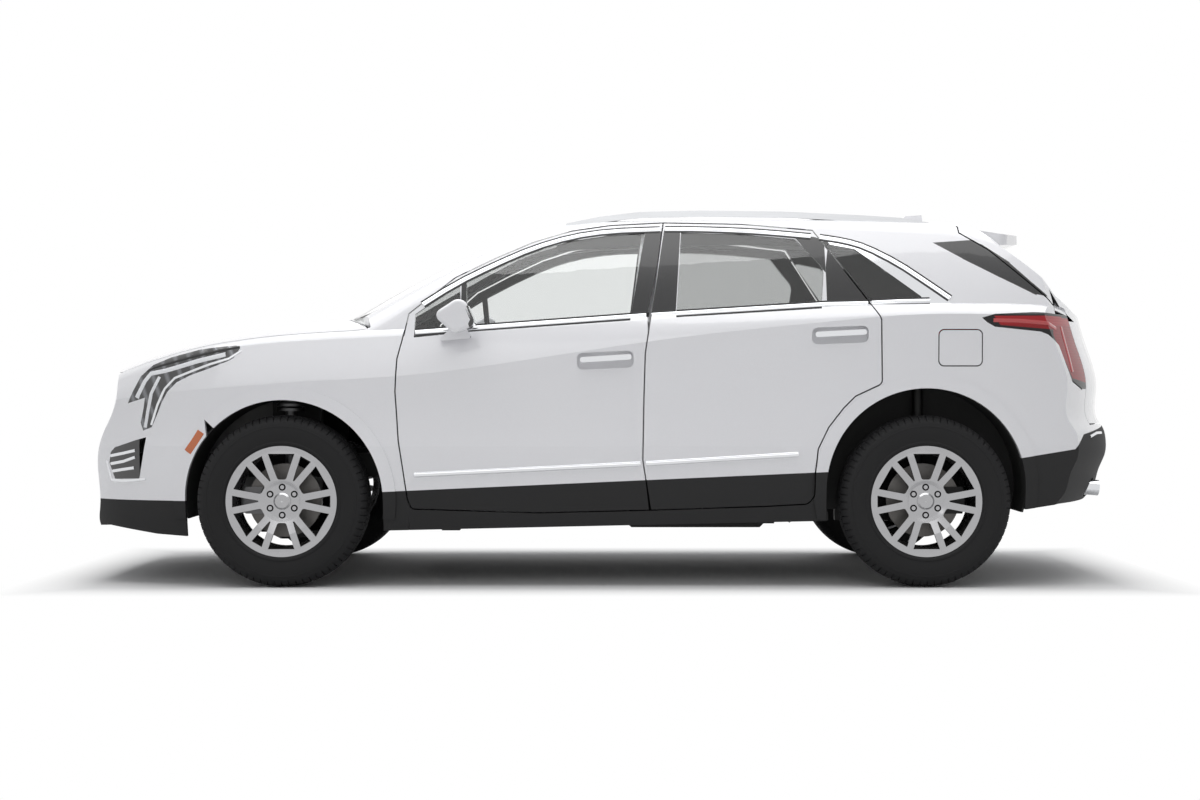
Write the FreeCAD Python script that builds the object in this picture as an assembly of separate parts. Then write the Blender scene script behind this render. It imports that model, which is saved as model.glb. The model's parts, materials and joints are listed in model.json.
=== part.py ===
"""Five-door suv: body shells, doors, glass, lamps, cabin, running gear and wheels as separate solids."""
import FreeCAD, Part
import math
import os

V = FreeCAD.Vector
os.makedirs("parts", exist_ok=True)

# Driving sizes, in millimetres. The front points to -X and the left side to -Y.
WHEELBASE = 2857.0
AXLE_F = -1446.5
AXLE_R = AXLE_F + WHEELBASE
NOSE_X = -2411.0
TAIL_X = 2395.0
CENTRE_X = (NOSE_X + TAIL_X) / 2
TRACK_HALF = 820.0
TYRE_R = 381.5
TYRE_W = 240.0
RIM_R = 246.0
HUB_Z = TYRE_R
GAP = 6.0
SKIN = 25.0
FRAME_T = 40.0
GLASS_T = 5.0
GLASS_IN = 3.0
ARCH_F = (-1440.0, 388.0)
ARCH_R = (1410.0, 440.0)
ARCH_RADIUS = 443.0
FLARE_RADIUS = 500.0
FLARE_OUT = 8.0
SILL_FRONT = (-985.0, 250.0)
SILL_REAR = (980.0, 294.0)
FAR = 1300.0


def smooth(knots):
    """A curve through the knots that never overshoots them."""
    xs = [k[0] for k in knots]
    ys = [k[1] for k in knots]
    n = len(xs)
    h = [xs[i + 1] - xs[i] for i in range(n - 1)]
    d = [(ys[i + 1] - ys[i]) / h[i] for i in range(n - 1)]
    m = [d[0]] + [0.0] * (n - 2) + [d[-1]]
    for i in range(1, n - 1):
        if d[i - 1] * d[i] > 0:
            a = 2 * h[i] + h[i - 1]
            b = h[i] + 2 * h[i - 1]
            m[i] = (a + b) / (a / d[i - 1] + b / d[i])

    def value(x):
        if x <= xs[0]:
            return ys[0] + m[0] * (x - xs[0])
        if x >= xs[-1]:
            return ys[-1] + m[-1] * (x - xs[-1])
        i = max(j for j in range(n) if xs[j] <= x)
        t = (x - xs[i]) / h[i]
        return ((1 + 2 * t) * (1 - t) ** 2 * ys[i] + t * (1 - t) ** 2 * h[i] * m[i]
                + t * t * (3 - 2 * t) * ys[i + 1] + t * t * (t - 1) * h[i] * m[i + 1])

    return value


# The lines that shape the body, each along X: half width, crease, belt, hood and roof.
half_width = smooth([(-2500, 420), (-2400, 575), (-2350, 645), (-2300, 700), (-2200, 775), (-2100, 822),
                     (-2000, 862), (-1850, 903), (-1700, 929), (-1500, 944), (-1200, 946), (-800, 943),
                     (800, 944), (1200, 948), (1450, 948), (1650, 942), (1850, 922), (2000, 895),
                     (2150, 852), (2250, 810), (2350, 740), (2450, 640), (2500, 570)])
crease_z = smooth([(-2500, 790), (-2000, 860), (-1450, 905), (-813, 946), (159, 1089), (1131, 1190),
                   (1476, 1212), (1850, 1208), (2050, 1192), (2250, 1150), (2500, 1080)])
belt_z = smooth([(-2500, 845), (-2300, 880), (-2200, 915), (-2100, 955), (-2000, 990), (-1900, 1020),
                 (-1750, 1052), (-1600, 1074), (-1300, 1097), (-1000, 1112), (-560, 1135), (230, 1190),
                 (1000, 1238), (1550, 1254), (1850, 1250), (2050, 1234), (2250, 1196), (2500, 1130)])
hood_z = smooth([(-2500, 880), (-2350, 962), (-2311, 987), (-2193, 1036), (-1997, 1094), (-1763, 1143),
                 (-1528, 1180), (-1312, 1208), (-1150, 1222), (-600, 1240), (0, 1260), (1000, 1290),
                 (1850, 1290), (2050, 1268), (2250, 1205), (2500, 1120)])
roof_z = smooth([(-1400, 1128), (-1214, 1222), (-1019, 1334), (-823, 1437), (-627, 1530), (-431, 1613),
                 (-236, 1662), (0, 1686), (400, 1697), (800, 1697), (1200, 1690), (1600, 1672),
                 (1725, 1630), (1855, 1512), (2035, 1372), (2215, 1218), (2365, 1090)])
side_top_z = smooth([(-1400, 1050), (-1214, 1070), (-1018, 1136), (-894, 1229), (-685, 1364), (-512, 1452),
                     (-339, 1530), (-167, 1584), (7, 1612), (300, 1624), (610, 1618), (925, 1606),
                     (1300, 1588), (1600, 1566), (1740, 1534), (1890, 1430), (2070, 1285), (2200, 1215),
                     (2400, 1190)])
nose_x = smooth([(150, -2375), (239, -2392), (275, -2404), (400, -2402), (463, -2408), (600, -2411),
                 (690, -2385), (760, -2354), (851, -2331), (940, -2318), (985, -2303), (1060, -2240),
                 (1400, -1900)])
tail_x = smooth([(150, 2120), (350, 2276), (416, 2333), (502, 2361), (569, 2390), (645, 2395), (700, 2380),
                 (730, 2361), (883, 2352), (1107, 2296), (1220, 2262), (1400, 2190), (1820, 2020)])
STATIONS = [-2500, -2400, -2300, -2200, -2050, -1850, -1600, -1300, -900, -300, 400, 1000, 1400, 1700,
            1900, 2050, 2200, 2350, 2500]
HOUSE_STATIONS = [-1330, -1214, -1100, -1019, -900, -750, -600, -431, -280, -120, 100, 400, 800, 1200,
                  1500, 1640, 1740, 1820, 1900, 2000, 2100, 2200, 2350]
NOSE_ROWS = [150, 239, 275, 340, 463, 600, 690, 760, 851, 940, 985, 1060, 1400]
TAIL_ROWS = [150, 350, 416, 502, 569, 645, 700, 730, 883, 1107, 1220, 1400, 1820]
TUMBLE = 0.35
TUMBLE_CURVE = 0.00033
SIDE_CROWN = 62.0
NOSE_BOW = 0.00020
TAIL_BOW = 0.00040


def surface(rows, params):
    """A skin through the rows: smooth from row to row, each row the control points of one arc."""
    count = len(rows[0])
    columns = []
    for j in range(count):
        line = Part.BSplineCurve()
        line.interpolate(Points=[row[j] for row in rows], Parameters=[float(p) for p in params])
        columns.append(line)
    poles = [list(row) for row in zip(*[line.getPoles() for line in columns])]
    skin = Part.BSplineSurface()
    skin.buildFromPolesMultsKnots(
        poles, columns[0].getMultiplicities(), [count, count], columns[0].getKnots(), [0.0, 1.0],
        False, False, columns[0].Degree, count - 1)
    return skin.toShape()


def box(x0, x1, y0, y1, z0, z1):
    return Part.makeBox(x1 - x0, y1 - y0, z1 - z0, V(x0, y0, z0))


def ring(points, place):
    """A closed wire through (a, b) corners, each with an optional radius."""
    ends = []
    count = len(points)
    for i, p in enumerate(points):
        here = V(p[0], p[1], 0)
        if len(p) < 3:
            ends.append((here, None, here))
            continue
        back = (V(*points[i - 1][:2], 0) - here).normalize()
        on = (V(*points[(i + 1) % count][:2], 0) - here).normalize()
        half = back.getAngle(on) / 2
        middle = (back + on).normalize()
        reach = p[2] / math.tan(half)
        ends.append((here + back * reach, here + middle * (p[2] / math.sin(half) - p[2]), here + on * reach))
    edges = []
    for i, (a, m, b) in enumerate(ends):
        if m is not None:
            edges.append(Part.Arc(place(a), place(m), place(b)).toShape())
        after = ends[(i + 1) % count][0]
        if (after - b).Length > 0.01:
            edges.append(Part.makeLine(place(b), place(after)))
    return Part.Wire(edges)


def prism(points, y0, y1):
    """A side-view outline of (x, z) corners, from y0 to y1."""
    face = Part.Face(ring(points, lambda p: V(p.x, y0, p.y)))
    return face.extrude(V(0, y1 - y0, 0))


def plan(points, z0, z1):
    """A plan-view outline of (x, y) corners, from z0 to z1."""
    return Part.Face(ring(points, lambda p: V(p.x, p.y, z0))).extrude(V(0, 0, z1 - z0))


def front(points, x0, x1):
    """A front-view outline of (y, z) corners, from x0 to x1."""
    return Part.Face(ring(points, lambda p: V(x0, p.x, p.y))).extrude(V(x1 - x0, 0, 0))


def grown(points, by, y0, y1):
    wire = ring(points, lambda p: V(p.x, y0, p.y))
    return Part.Face(wire.makeOffset2D(by)).extrude(V(0, y1 - y0, 0))


def rod(a, b, radius):
    return Part.makeCylinder(radius, (b - a).Length, a, b - a)


def disc(centre_x, y0, y1, centre_z, radius):
    return Part.makeCylinder(radius, y1 - y0, V(centre_x, y0, centre_z), V(0, 1, 0))


def joined(shapes):
    body = shapes[0]
    return body.fuse(shapes[1:]).removeSplitter() if len(shapes) > 1 else body


def biggest(shape):
    return max(shape.Solids, key=lambda solid: solid.Volume)


def mirror(shape):
    return shape.mirror(V(0, 0, 0), V(0, 1, 0))


def hull_rows(inset, drop):
    """Section lines of the lower body at each station, left side, as strips from the sill to the hood."""
    strips = [[], [], [], []]
    tops = []
    for x in STATIONS:
        w = half_width(x) - inset
        c = crease_z(x)
        e = belt_z(x)
        h = hood_z(x) - drop
        low = [(200, -72), (330, -32), (480, -9), (625, -6)]
        mid = [(625, -6), (625 + (c - 625) * 0.35, -17), (625 + (c - 625) * 0.72, -10), (c, 0)]
        high = [(c, 0), (c + (e - c) * 0.45, -9), (e, -42)]
        z1 = e + (h - e) * 0.42
        y1 = w - 118
        roll = [(w - 42, e), (w - 52, e + (z1 - e) * 0.42), (w - 78, e + (z1 - e) * 0.78), (y1, z1)]
        for strip, points in zip(strips[:3], (low, mid, high)):
            strip.append([V(x, -(w + dy), z) for z, dy in points])
        strips[3].append([V(x, -y, z) for y, z in roll])
        tops.append([V(x, -y1, z1), V(x, 0, 2 * h - z1), V(x, y1, z1)])
    return strips, tops


def end_face(line, bow, sign, zs, end):
    """The bowed surface that closes the nose or tail."""
    y = 1100.0
    rows = []
    for z in zs:
        x = line(z) + sign * end
        rim = x + sign * bow * y * y
        rows.append([V(rim, -y, z), V(2 * x - rim, 0, z), V(rim, y, z)])
    return surface(rows, zs)


def hull(inset=0.0, drop=0.0, end=0.0):
    """The lower body as one solid, set in by inset at the sides, drop on top and end at nose and tail."""
    strips, tops = hull_rows(inset, drop)
    faces = [surface(rows, STATIONS) for rows in strips]
    faces += [mirror(face) for face in faces]
    faces.append(surface(tops, STATIONS))
    faces.append(end_face(nose_x, NOSE_BOW, 1, NOSE_ROWS, end))
    faces.append(end_face(tail_x, TAIL_BOW, -1, TAIL_ROWS, end))
    block = box(-2460, 2460, -1090, 1090, 205, 1390)
    pieces = block.generalFuse(faces)[0].Solids
    return next(s for s in pieces if s.isInside(V(0, 0, 600), 1.0, True))


def house_side(x, z, inset):
    rise = z - belt_z(x)
    return half_width(x) - SIDE_CROWN - inset - TUMBLE * rise - TUMBLE_CURVE * rise * rise * (rise > 0)


def house_rows(inset, drop):
    side, roll, top = [], [], []
    for x in HOUSE_STATIONS:
        e = belt_z(x)
        zs = max(side_top_z(x), e - 25) - drop * 0.5
        zt = roof_z(x) - drop
        z0 = e - 110
        ys = house_side(x, zs, inset)
        zm = (z0 + zs) / 2
        y0 = house_side(x, z0, inset)
        ym = 2 * house_side(x, zm, inset) - (y0 + ys) / 2
        side.append([V(x, -y0, z0), V(x, -ym, zm), V(x, -ys, zs)])
        yt = ys - (75 + 0.45 * max(0.0, zt - 60 - zs)) + inset * 0.5
        crown = 62 - 17 * min(1.0, max(0.0, (zt - 1450) / 200))
        z1 = zt - crown * (yt / 640) ** 2
        lean = TUMBLE + 2 * TUMBLE_CURVE * max(0.0, zs - e)
        slope = 2 * crown * yt / 640 ** 2
        s = (z1 - slope * (ys - yt) - zs) / (1 / lean - slope)
        s = min(max(s, 2.0), ys - yt - 2.0)
        corner = (ys - s, zs + s / lean)
        roll.append([V(x, -ys, zs), V(x, -corner[0], corner[1]), V(x, -yt, z1)])
        top.append([V(x, -yt, z1), V(x, 0, 2 * zt - z1), V(x, yt, z1)])
    return side, roll, top


def house(inset=0.0, drop=0.0):
    """The glasshouse as one solid, from below the belt to the roof."""
    side, roll, top = house_rows(inset, drop)
    faces = [surface(side, HOUSE_STATIONS), surface(roll, HOUSE_STATIONS)]
    faces += [mirror(face) for face in faces]
    faces.append(surface(top, HOUSE_STATIONS))
    block = prism([(-1320, belt_z(-1320) - 50), (-560, belt_z(-560) - 50), (230, belt_z(230) - 50),
                   (1000, belt_z(1000) - 50), (2340, belt_z(1000) - 50), (2340, 1800), (-1320, 1800)],
                  -1000, 1000)
    pieces = block.generalFuse(faces)[0].Solids
    return next(s for s in pieces if s.isInside(V(500, 0, 1300), 1.0, True))



nodes = {}


def keep(name, *shapes):
    """Record a node as its solids, largest scraps only."""
    solids = []
    for shape in shapes:
        found = shape.Solids
        if not found:
            raise ValueError(name + " has an empty shape")
        solids += [solid for solid in found if solid.Volume > 300.0]
    nodes[name] = solids


# Side-view outlines, left side.
SPLIT = [(192, 345), (178, 434), (157, 565), (162, 835), (168, 1039), (190, 1180), (254, 1634)]
FRONT_EDGE = [(-886, 1214), (-909, 1102), (-931, 1013), (-939, 869), (-925, 654), (-907, 537),
              (-886, 390, 30), (-870, 350, 20)]
FRONT_DOOR = FRONT_EDGE + [(-305, 333)] + [(x - GAP, z) for x, z in SPLIT] + [
    (7, 1622), (-167, 1596), (-339, 1543), (-512, 1466), (-685, 1379)]
DOOR_ARCH = FLARE_RADIUS + GAP + 8.0
REAR_DOOR = SPLIT[::-1] + [(700, 362), (884, 372, 30), (912, 404, 30), (914, 504)] + [
    (ARCH_R[0] + DOOR_ARCH * math.cos(math.radians(a)), ARCH_R[1] + DOOR_ARCH * math.sin(math.radians(a)))
    for a in (160, 148, 136)] + [(1093, 850), (1210, 905, 25), (1206, 1190, 30), (1162, 1262), (925, 1596),
                                 (610, 1626)]
FRONT_WINDOW = [(-862, 1108), (-862, 1213), (-685, 1336), (-512, 1423), (-339, 1501), (-167, 1553), (7, 1579),
                (168, 1590), (99, 1184), (-604, 1134)]
REAR_WINDOW = [(303, 1198), (331, 1590), (610, 1581), (847, 1558, 10), (968, 1421, 60), (950, 1237)]
QUARTER_WINDOW = [(1178, 1266, 8), (972, 1538, 8), (1110, 1511, 30), (1409, 1281, 8)]
GATE_LINE = [(1590, 1700), (1590, 1588), (1717, 1509), (1971, 1287), (2040, 1225), (2240, 1215), (2262, 1108),
             (2310, 905), (2330, 722)]
GATE = GATE_LINE + [(2460, 722), (2460, 1700)]
TAIL_LAMP = [(1653, 1195), (1711, 1212), (1887, 1221), (2023, 1216), (2420, 1216), (2420, 872), (2150, 880),
             (2080, 917), (2046, 986), (2011, 1075), (1955, 1121), (1921, 1134), (1711, 1155), (1676, 1175)]
HEAD_LAMP = [(-2157, 815), (-2133, 867), (-2099, 936), (-2043, 987), (-1957, 1021), (-1828, 1054),
             (-1742, 1066), (-1652, 1073), (-1634, 1060), (-1661, 1016), (-1689, 1002), (-1775, 969),
             (-1860, 939), (-1920, 909), (-1962, 867), (-1992, 816), (-2014, 764), (-2040, 709), (-2082, 693),
             (-2095, 729), (-2082, 781), (-2071, 841)]
FOG_LAMP = [(-2257, 547), (-2248, 595), (-2227, 616), (-2123, 649), (-2067, 664), (-2102, 478), (-2227, 474)]
FUEL_DOOR = [(1462, 981, 24), (1462, 1143, 24), (1656, 1143, 24), (1656, 981, 24)]
REAR_BUMPER = [(1697, 866), (1797, 942), (1882, 956), (2029, 967), (2046, 986), (2080, 911), (2150, 874),
               (2150, 716), (2600, 716), (2600, 0), (1697, 0)]
LAMP_Y = 655.0
GATE_X = 2050.0
WING_LINE = [(-1865, 945), (-1790, 745)]

# Shells
HULL = hull()
INNER = hull(SKIN, SKIN, SKIN)
HOUSE = house()
HOUSE_IN = house(FRAME_T, FRAME_T)
GLASS_OUT = house(GLASS_IN, GLASS_IN)
GLASS_BACK = house(GLASS_IN + GLASS_T, GLASS_IN + GLASS_T)
PANE = GLASS_OUT.cut(GLASS_BACK)
PANE_SIDE = PANE.common(box(-900, 1450, -FAR, -520, 1080, 1700))
PANE_REAR = PANE.common(box(1800, 2190, -700, 700, 1200, 1700))


def flares():
    wide = hull(-FLARE_OUT, 0, 0)
    bands = []
    for cx, cz in (ARCH_F, ARCH_R):
        for y0, y1 in ((-FAR, -700), (700, FAR)):
            bands.append(disc(cx, y0, y1, cz, FLARE_RADIUS).cut(box(cx - 600, cx + 600, -FAR, FAR, 0, 300)))
    return wide.common(Part.makeCompound(bands))


def arch_cut():
    cuts = []
    for cx, cz in (ARCH_F, ARCH_R):
        for y0, y1 in ((-FAR, -470), (470, FAR)):
            cuts.append(disc(cx, y0, y1, cz, ARCH_RADIUS))
            cuts.append(box(cx - ARCH_RADIUS, cx + ARCH_RADIUS, y0, y1, 0, cz))
    return cuts


# The skin and the inner space
ARCHES = arch_cut()
SOLID_BODY = HULL.fuse(flares().Solids)
CABIN_CUT = HOUSE_IN.common(box(-1300, 2300, -FAR, FAR, 1100, 1400))
TAIL_BLOCK = box(1500, 2460, -1090, 1090, 205, 1800)
before_tail = min(TAIL_BLOCK.generalFuse([end_face(tail_x, TAIL_BOW, -1, TAIL_ROWS, 0)])[0].Solids,
                  key=lambda solid: solid.CenterOfMass.x)
behind_tail = TAIL_BLOCK.cut(before_tail)
UPPER = HOUSE.cut(HOUSE_IN)


def skin(zone, *tools):
    """The sheet of outer skin inside a zone, less the tools: cut one after another, as small solids."""
    piece = SOLID_BODY.common(zone)
    for tool in (INNER,) + tools:
        piece = piece.cut(tool)
    return piece


def trimmed(shape, *tools):
    for tool in tools:
        shape = shape.cut(tool)
    return shape


LEFT = box(-2600, 2600, -FAR, 0, 0, 2000)


def region(points, y0=-FAR, y1=0.0):
    return prism(points, y0, y1)


def door_slab(outline, inner_y):
    """The whole thickness of a door below the belt, from the outer skin to a flat inner face."""
    leaf = SOLID_BODY.common(prism(outline, -FAR, -inner_y))
    return trimmed(leaf, ARCHES[4], ARCHES[5])


FRONT_HINGE_X = -859.0
REAR_HINGE_X = 256.0
DOOR_INNER_Y = 872.0
DOOR_TOP_Y = 612.0
LATCH_LIP = 12.0


def belt_cap(x0, x1, drop=0.0):
    """Everything above the window sill line, over the doors."""
    xs = [x0] + [x for x in (-795, -200, 400, 958) if x0 < x < x1] + [x1]
    line = [(x, window_sill(x) - drop) for x in xs]
    return prism(line + [(x1, 1900), (x0, 1900)], -FAR, 0)


window_sill = smooth([(-1012, 1106), (-795, 1126), (-604, 1145), (194, 1203), (958, 1249), (1519, 1266)])


def door(outline, window, hinge_x, latch):
    """A door: slab below the belt, framed window above, thin flange ahead of the hinge."""
    cap = belt_cap(outline_min(outline) - 50, 1300)
    lower = door_slab(outline, DOOR_INNER_Y).cut(cap)
    upper = UPPER.common(region(outline, -FAR, -DOOR_TOP_Y)).common(belt_cap(-1300, 1300, 30))
    leaf = lower.fuse(upper)
    leaf = leaf.cut(region(window))
    lead = INNER.common(box(outline_min(outline) - 50, hinge_x + 4, -FAR, 0, 210, 1240))
    leaf = leaf.cut(lead)
    return biggest(leaf.cut(latch))


def outline_min(outline):
    return min(p[0] for p in outline)


def wedge(line, depth_line):
    """The slant on a door's latch face, lofted up the shut line behind a straight lip."""
    wires = []
    for (x, z), (y_out, y_in, shift) in zip(line, depth_line):
        y_lip = y_out - LATCH_LIP
        run = (y_lip - y_in) / shift
        a = V(x + GAP, -(y_lip + GAP * run), z)
        b = V(x + GAP, -y_in, z)
        c = V(x - shift, -y_in, z)
        wires.append(Part.Wire([Part.makeLine(a, b), Part.makeLine(b, c), Part.makeLine(c, a)]))
    solid = Part.makeLoft(wires, True, True)
    if solid.Volume < 0:
        solid.reverse()
    return solid


def skin_y(x, z):
    """About where the outer skin stands at a side-view point."""
    if z > belt_z(x):
        return house_side(x, z, 0)
    return half_width(x) - 4


# Doors
split_line = [(x - GAP, z) for x, z in SPLIT]
split_line[0] = (split_line[0][0] + 1, split_line[0][1] - 20)
split_line[-1] = (split_line[-1][0] + 2, split_line[-1][1] + 20)
split_depth = []
for x, z in split_line:
    y = skin_y(x, z)
    split_depth.append((y, y - 84, 30 if z > 1100 else 12))
front_latch = wedge(split_line, split_depth)
rear_line = [(1210, 920), (1206, 1190), (1162, 1262), (925, 1596), (900, 1631)]
rear_depth = [(skin_y(x, z), skin_y(x, z) - 84, s) for (x, z), s in zip(rear_line, (12, 14, 24, 44, 44))]
rear_latch = wedge(rear_line, rear_depth)
FRONT_LEAF = door(FRONT_DOOR, FRONT_WINDOW, FRONT_HINGE_X, front_latch)
REAR_LEAF = door(REAR_DOOR, REAR_WINDOW, REAR_HINGE_X, rear_latch)
bar = prism([(-648, 1104), (-622, 1104), (-640, 1390), (-668, 1390)], -FAR, 0)
FRONT_LEAF = FRONT_LEAF.fuse(UPPER.common(bar).common(grown(FRONT_WINDOW, 4, -FAR, 0)))
front_glass = PANE_SIDE.common(grown(FRONT_WINDOW, 12, -FAR, 0))
rear_glass = PANE_SIDE.common(grown(REAR_WINDOW, 12, -FAR, 0))


def handle(x0, x1, z0, z1, y):
    """A strap handle over a shallow cup."""
    strap = prism([(x0, z0, 10), (x1, z1, 10), (x1, z1 + 24, 10), (x0, z0 + 24, 10)], -(y + 34), -(y + 20))
    ends = [box(x0 + 6, x0 + 30, -(y + 24), -(y - 36), z0 + 2, z0 + 20),
            box(x1 - 30, x1 - 6, -(y + 24), -(y - 36), z1 + 2, z1 + 20)]
    return strap.fuse(ends)


def cup(x0, x1, z0, z1, y):
    return prism([(x0, z0, 26), (x1, z1, 26), (x1, z1 + 74, 26), (x0, z0 + 74, 26)], -(y + 30), -(y - 24))


front_skin_y = half_width(0) - 9
FRONT_LEAF = FRONT_LEAF.cut(cup(-137, 113, 964, 976, front_skin_y)).fuse(
    handle(-123, 104, 996, 1010, front_skin_y - 8))
REAR_LEAF = REAR_LEAF.cut(cup(902, 1152, 1076, 1086, front_skin_y)).fuse(
    handle(916, 1142, 1108, 1120, front_skin_y - 12))
for side, turn in (("left", lambda q: q), ("right", mirror)):
    keep("front_door_" + side, turn(FRONT_LEAF.cut(front_glass)))
    keep("rear_door_" + side, turn(REAR_LEAF.cut(rear_glass)))
    keep("front_door_glass_" + side, turn(front_glass))
    keep("rear_door_glass_" + side, turn(rear_glass))


def door_gap(outline):
    return grown(outline, GAP, -FAR, 0)


# Body side
HOOD_EDGE = [(-2500, 0), (-2500, -560), (-2290, -610), (-2200, -672), (-2120, -722)] + [
    (x, -(half_width(x) - 82)) for x in (-2000, -1850, -1650, -1400, -1150)] + [
    (-1075, -855), (-1090, -800), (-1165, -600), (-1230, -350), (-1262, 0)]
COWL_GAP = 16.0


def hood_room(x, y):
    """A point of the hood's edge with its gap: wider along the cowl."""
    at_cowl = x > -1149 or (y > -700 and x > -2000)
    return (x + (COWL_GAP if at_cowl else 0), y - GAP if y else 0)


HOOD_ROOM = [hood_room(x, y) for x, y in HOOD_EDGE]
FRONT_GAP = door_gap(FRONT_DOOR)
REAR_GAP = door_gap(REAR_DOOR)
roof_line = box(-290, 1590, -570, 0, 1500, 1900)
SCREEN = [(-1330, 0), (-1330, -770), (-1060, -735), (-262, -592), (-262, 0)]
screen_zone = plan(SCREEN, 1050, 1900)
gate_gap = grown(GATE, GAP, -FAR, 0)
above_hood = plan(HOOD_ROOM, 1000, 1500)
side_upper = trimmed(UPPER.common(LEFT), SOLID_BODY, roof_line, screen_zone, gate_gap, behind_tail,
                     above_hood,
                     FRONT_GAP, REAR_GAP, prism(QUARTER_WINDOW, -FAR, 0))
sill_slope = (SILL_REAR[1] - SILL_FRONT[1]) / (SILL_REAR[0] - SILL_FRONT[0])
sill_ends = [(x, SILL_FRONT[1] + sill_slope * (x - SILL_FRONT[0])) for x in (3000, -3000)]
under_sill = prism([(-3000, 0), (3000, 0)] + sill_ends, -FAR, 0)
JACK_PADS = [(-700, 250), (700, 281)]
door_front_room = prism([(-1100, 200), (-878, 200), (-893, 434), (-908, 537), (-926, 654), (-940, 869),
                         (-932, 1013), (-910, 1102), (-887, 1214), (-887, 1400), (-1100, 1400)], -FAR, 0)
jamb = SOLID_BODY.common(box(-985, 1330, -FAR, -DOOR_INNER_Y, 200, 1400))
jamb = trimmed(jamb, ARCHES[4], ARCHES[5], door_front_room, FRONT_GAP, REAR_GAP, under_sill)
QUARTER = [(1160, 250), (1160, 1350), (2500, 1350), (2500, 900), (2150, 900), (2029, 967),
           (1882, 956), (1797, 942), (1697, 866), (1697, 250)]
quarter = skin(prism(QUARTER, -FAR, 0), CABIN_CUT, ARCHES[4], ARCHES[5], prism(REAR_BUMPER, -FAR, 0),
               box(GATE_X, 2500, -LAMP_Y, 0, 700, 1400), REAR_GAP, prism(TAIL_LAMP, -FAR, 0),
               under_sill)
b_post_low = box(96, 214, -828, -772, 302, 1150)
b_post_high = house(56, 56).cut(house(92, 92)).common(prism([(96, 1120), (222, 1120), (268, 1640), (160, 1640)],
                                                             -FAR, -500))
sill = prism([SILL_FRONT, SILL_REAR, (SILL_REAR[0], 330), (SILL_FRONT[0], 330)], -874, -800)
for x, z in JACK_PADS:
    sill = sill.fuse(box(x - 40, x + 40, -874, -800, z, z + 24))
post = b_post_high.fuse(b_post_low)
side = side_upper
for pressing in (biggest(quarter), jamb, sill, post):
    side = biggest(side.fuse(pressing))
quarter_glass = PANE_SIDE.common(grown(QUARTER_WINDOW, 12, -FAR, 0)).cut(grown(REAR_DOOR, GAP, -FAR, 0))
side = biggest(side.cut(quarter_glass))
keep("body_side_left", biggest(side.cut(grown(FUEL_DOOR, 2, -FAR, -700))))
keep("body_side_right", mirror(side))

# Hood and fenders
hood_half = plan(HOOD_EDGE, 955, 1500)
NOSE_ROOM = [(x, y - GAP if y else 0) for x, y in HOOD_EDGE]
lamp_zone = region(HEAD_LAMP)
hood_raw = biggest(skin(hood_half, lamp_zone))
hood_zone = plan(HOOD_EDGE, 955 - GAP, 1500)
hood = hood_raw.fuse(mirror(hood_raw)).removeSplitter()
keep("hood", hood)
wing_zone = region([(-885, 1300), (-885, 200), (-1200, 200), (-1790, 745)] + [WING_LINE[0]] + [(-1875, 1300)])
wing = skin(wing_zone, CABIN_CUT, ARCHES[0], ARCHES[1], plan(HOOD_ROOM, 940, 1500))
wing = trimmed(wing, lamp_zone, FRONT_GAP, under_sill, side)
keep("fender_left", max(wing.Solids, key=lambda q: q.Volume))
keep("fender_right", mirror(max(wing.Solids, key=lambda q: q.Volume)))

# Front bumper and grille
WING_SIDE = [(-1865, 945), (-1865, 1300), (-2600, 1300), (-2600, 0), (-1700, 0), (-1790, 745)]
UPPER_GRILLE = [(-470, 905, 20), (470, 905, 20), (400, 735, 20), (-400, 735, 20)]
LOWER_GRILLE = [(-520, 560, 25), (520, 560, 25), (440, 330, 25), (-440, 330, 25)]
chin = prism([(-2600, 0), (-2600, 236), (-2261, 262), (-2025, 229), (-1600, 205), (-1600, 0)], -FAR, FAR)
nose_half = skin(region(WING_SIDE), ARCHES[0], ARCHES[1], plan(NOSE_ROOM, 949, 1500), lamp_zone,
                 region(FOG_LAMP), wing_zone, chin)
nose_half = biggest(nose_half)
bumper = nose_half.fuse(mirror(nose_half)).removeSplitter()
grille_openings = [front(UPPER_GRILLE, -2500, -2200), front(LOWER_GRILLE, -2500, -2200)]
bumper = bumper.cut(grille_openings)
keep("front_bumper", bumper)


def grille_plate(outline, bars, posts):
    """A grille cut from the nose itself: level bars between upright posts."""
    ys = [p[0] for p in outline]
    zs = [p[1] for p in outline]
    low, high, wide = min(zs), max(zs), max(ys)
    plate = front(outline, -2500, -2200).common(NOSE_LAYER)
    pitch = (high - low) / bars
    cell = 2 * wide / posts
    slots = []
    for i in range(bars):
        for j in range(posts):
            z = low + pitch * i + 6
            y = -wide + cell * j + 5
            slots.append(box(-2500, -2200, y, y + cell - 10, z, z + pitch - 12))
    return plate.cut(slots)


NOSE_BLOCK = box(-2500, -2100, -900, 900, 205, 1000)


def behind_nose(depth):
    """The space behind the nose surface moved back by a depth."""
    pieces = NOSE_BLOCK.generalFuse([end_face(nose_x, NOSE_BOW, 1, NOSE_ROWS, depth)])[0].Solids
    return max(pieces, key=lambda q: q.CenterOfMass.x)


NOSE_LAYER = behind_nose(8).cut(behind_nose(26))
INNER_NOSE_BACK = HULL.common(behind_nose(10).cut(box(-2500, -2000, -500, 500, 200, 1000)))
keep("grille", grille_plate(UPPER_GRILLE, 6, 6), grille_plate(LOWER_GRILLE, 7, 8))

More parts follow.
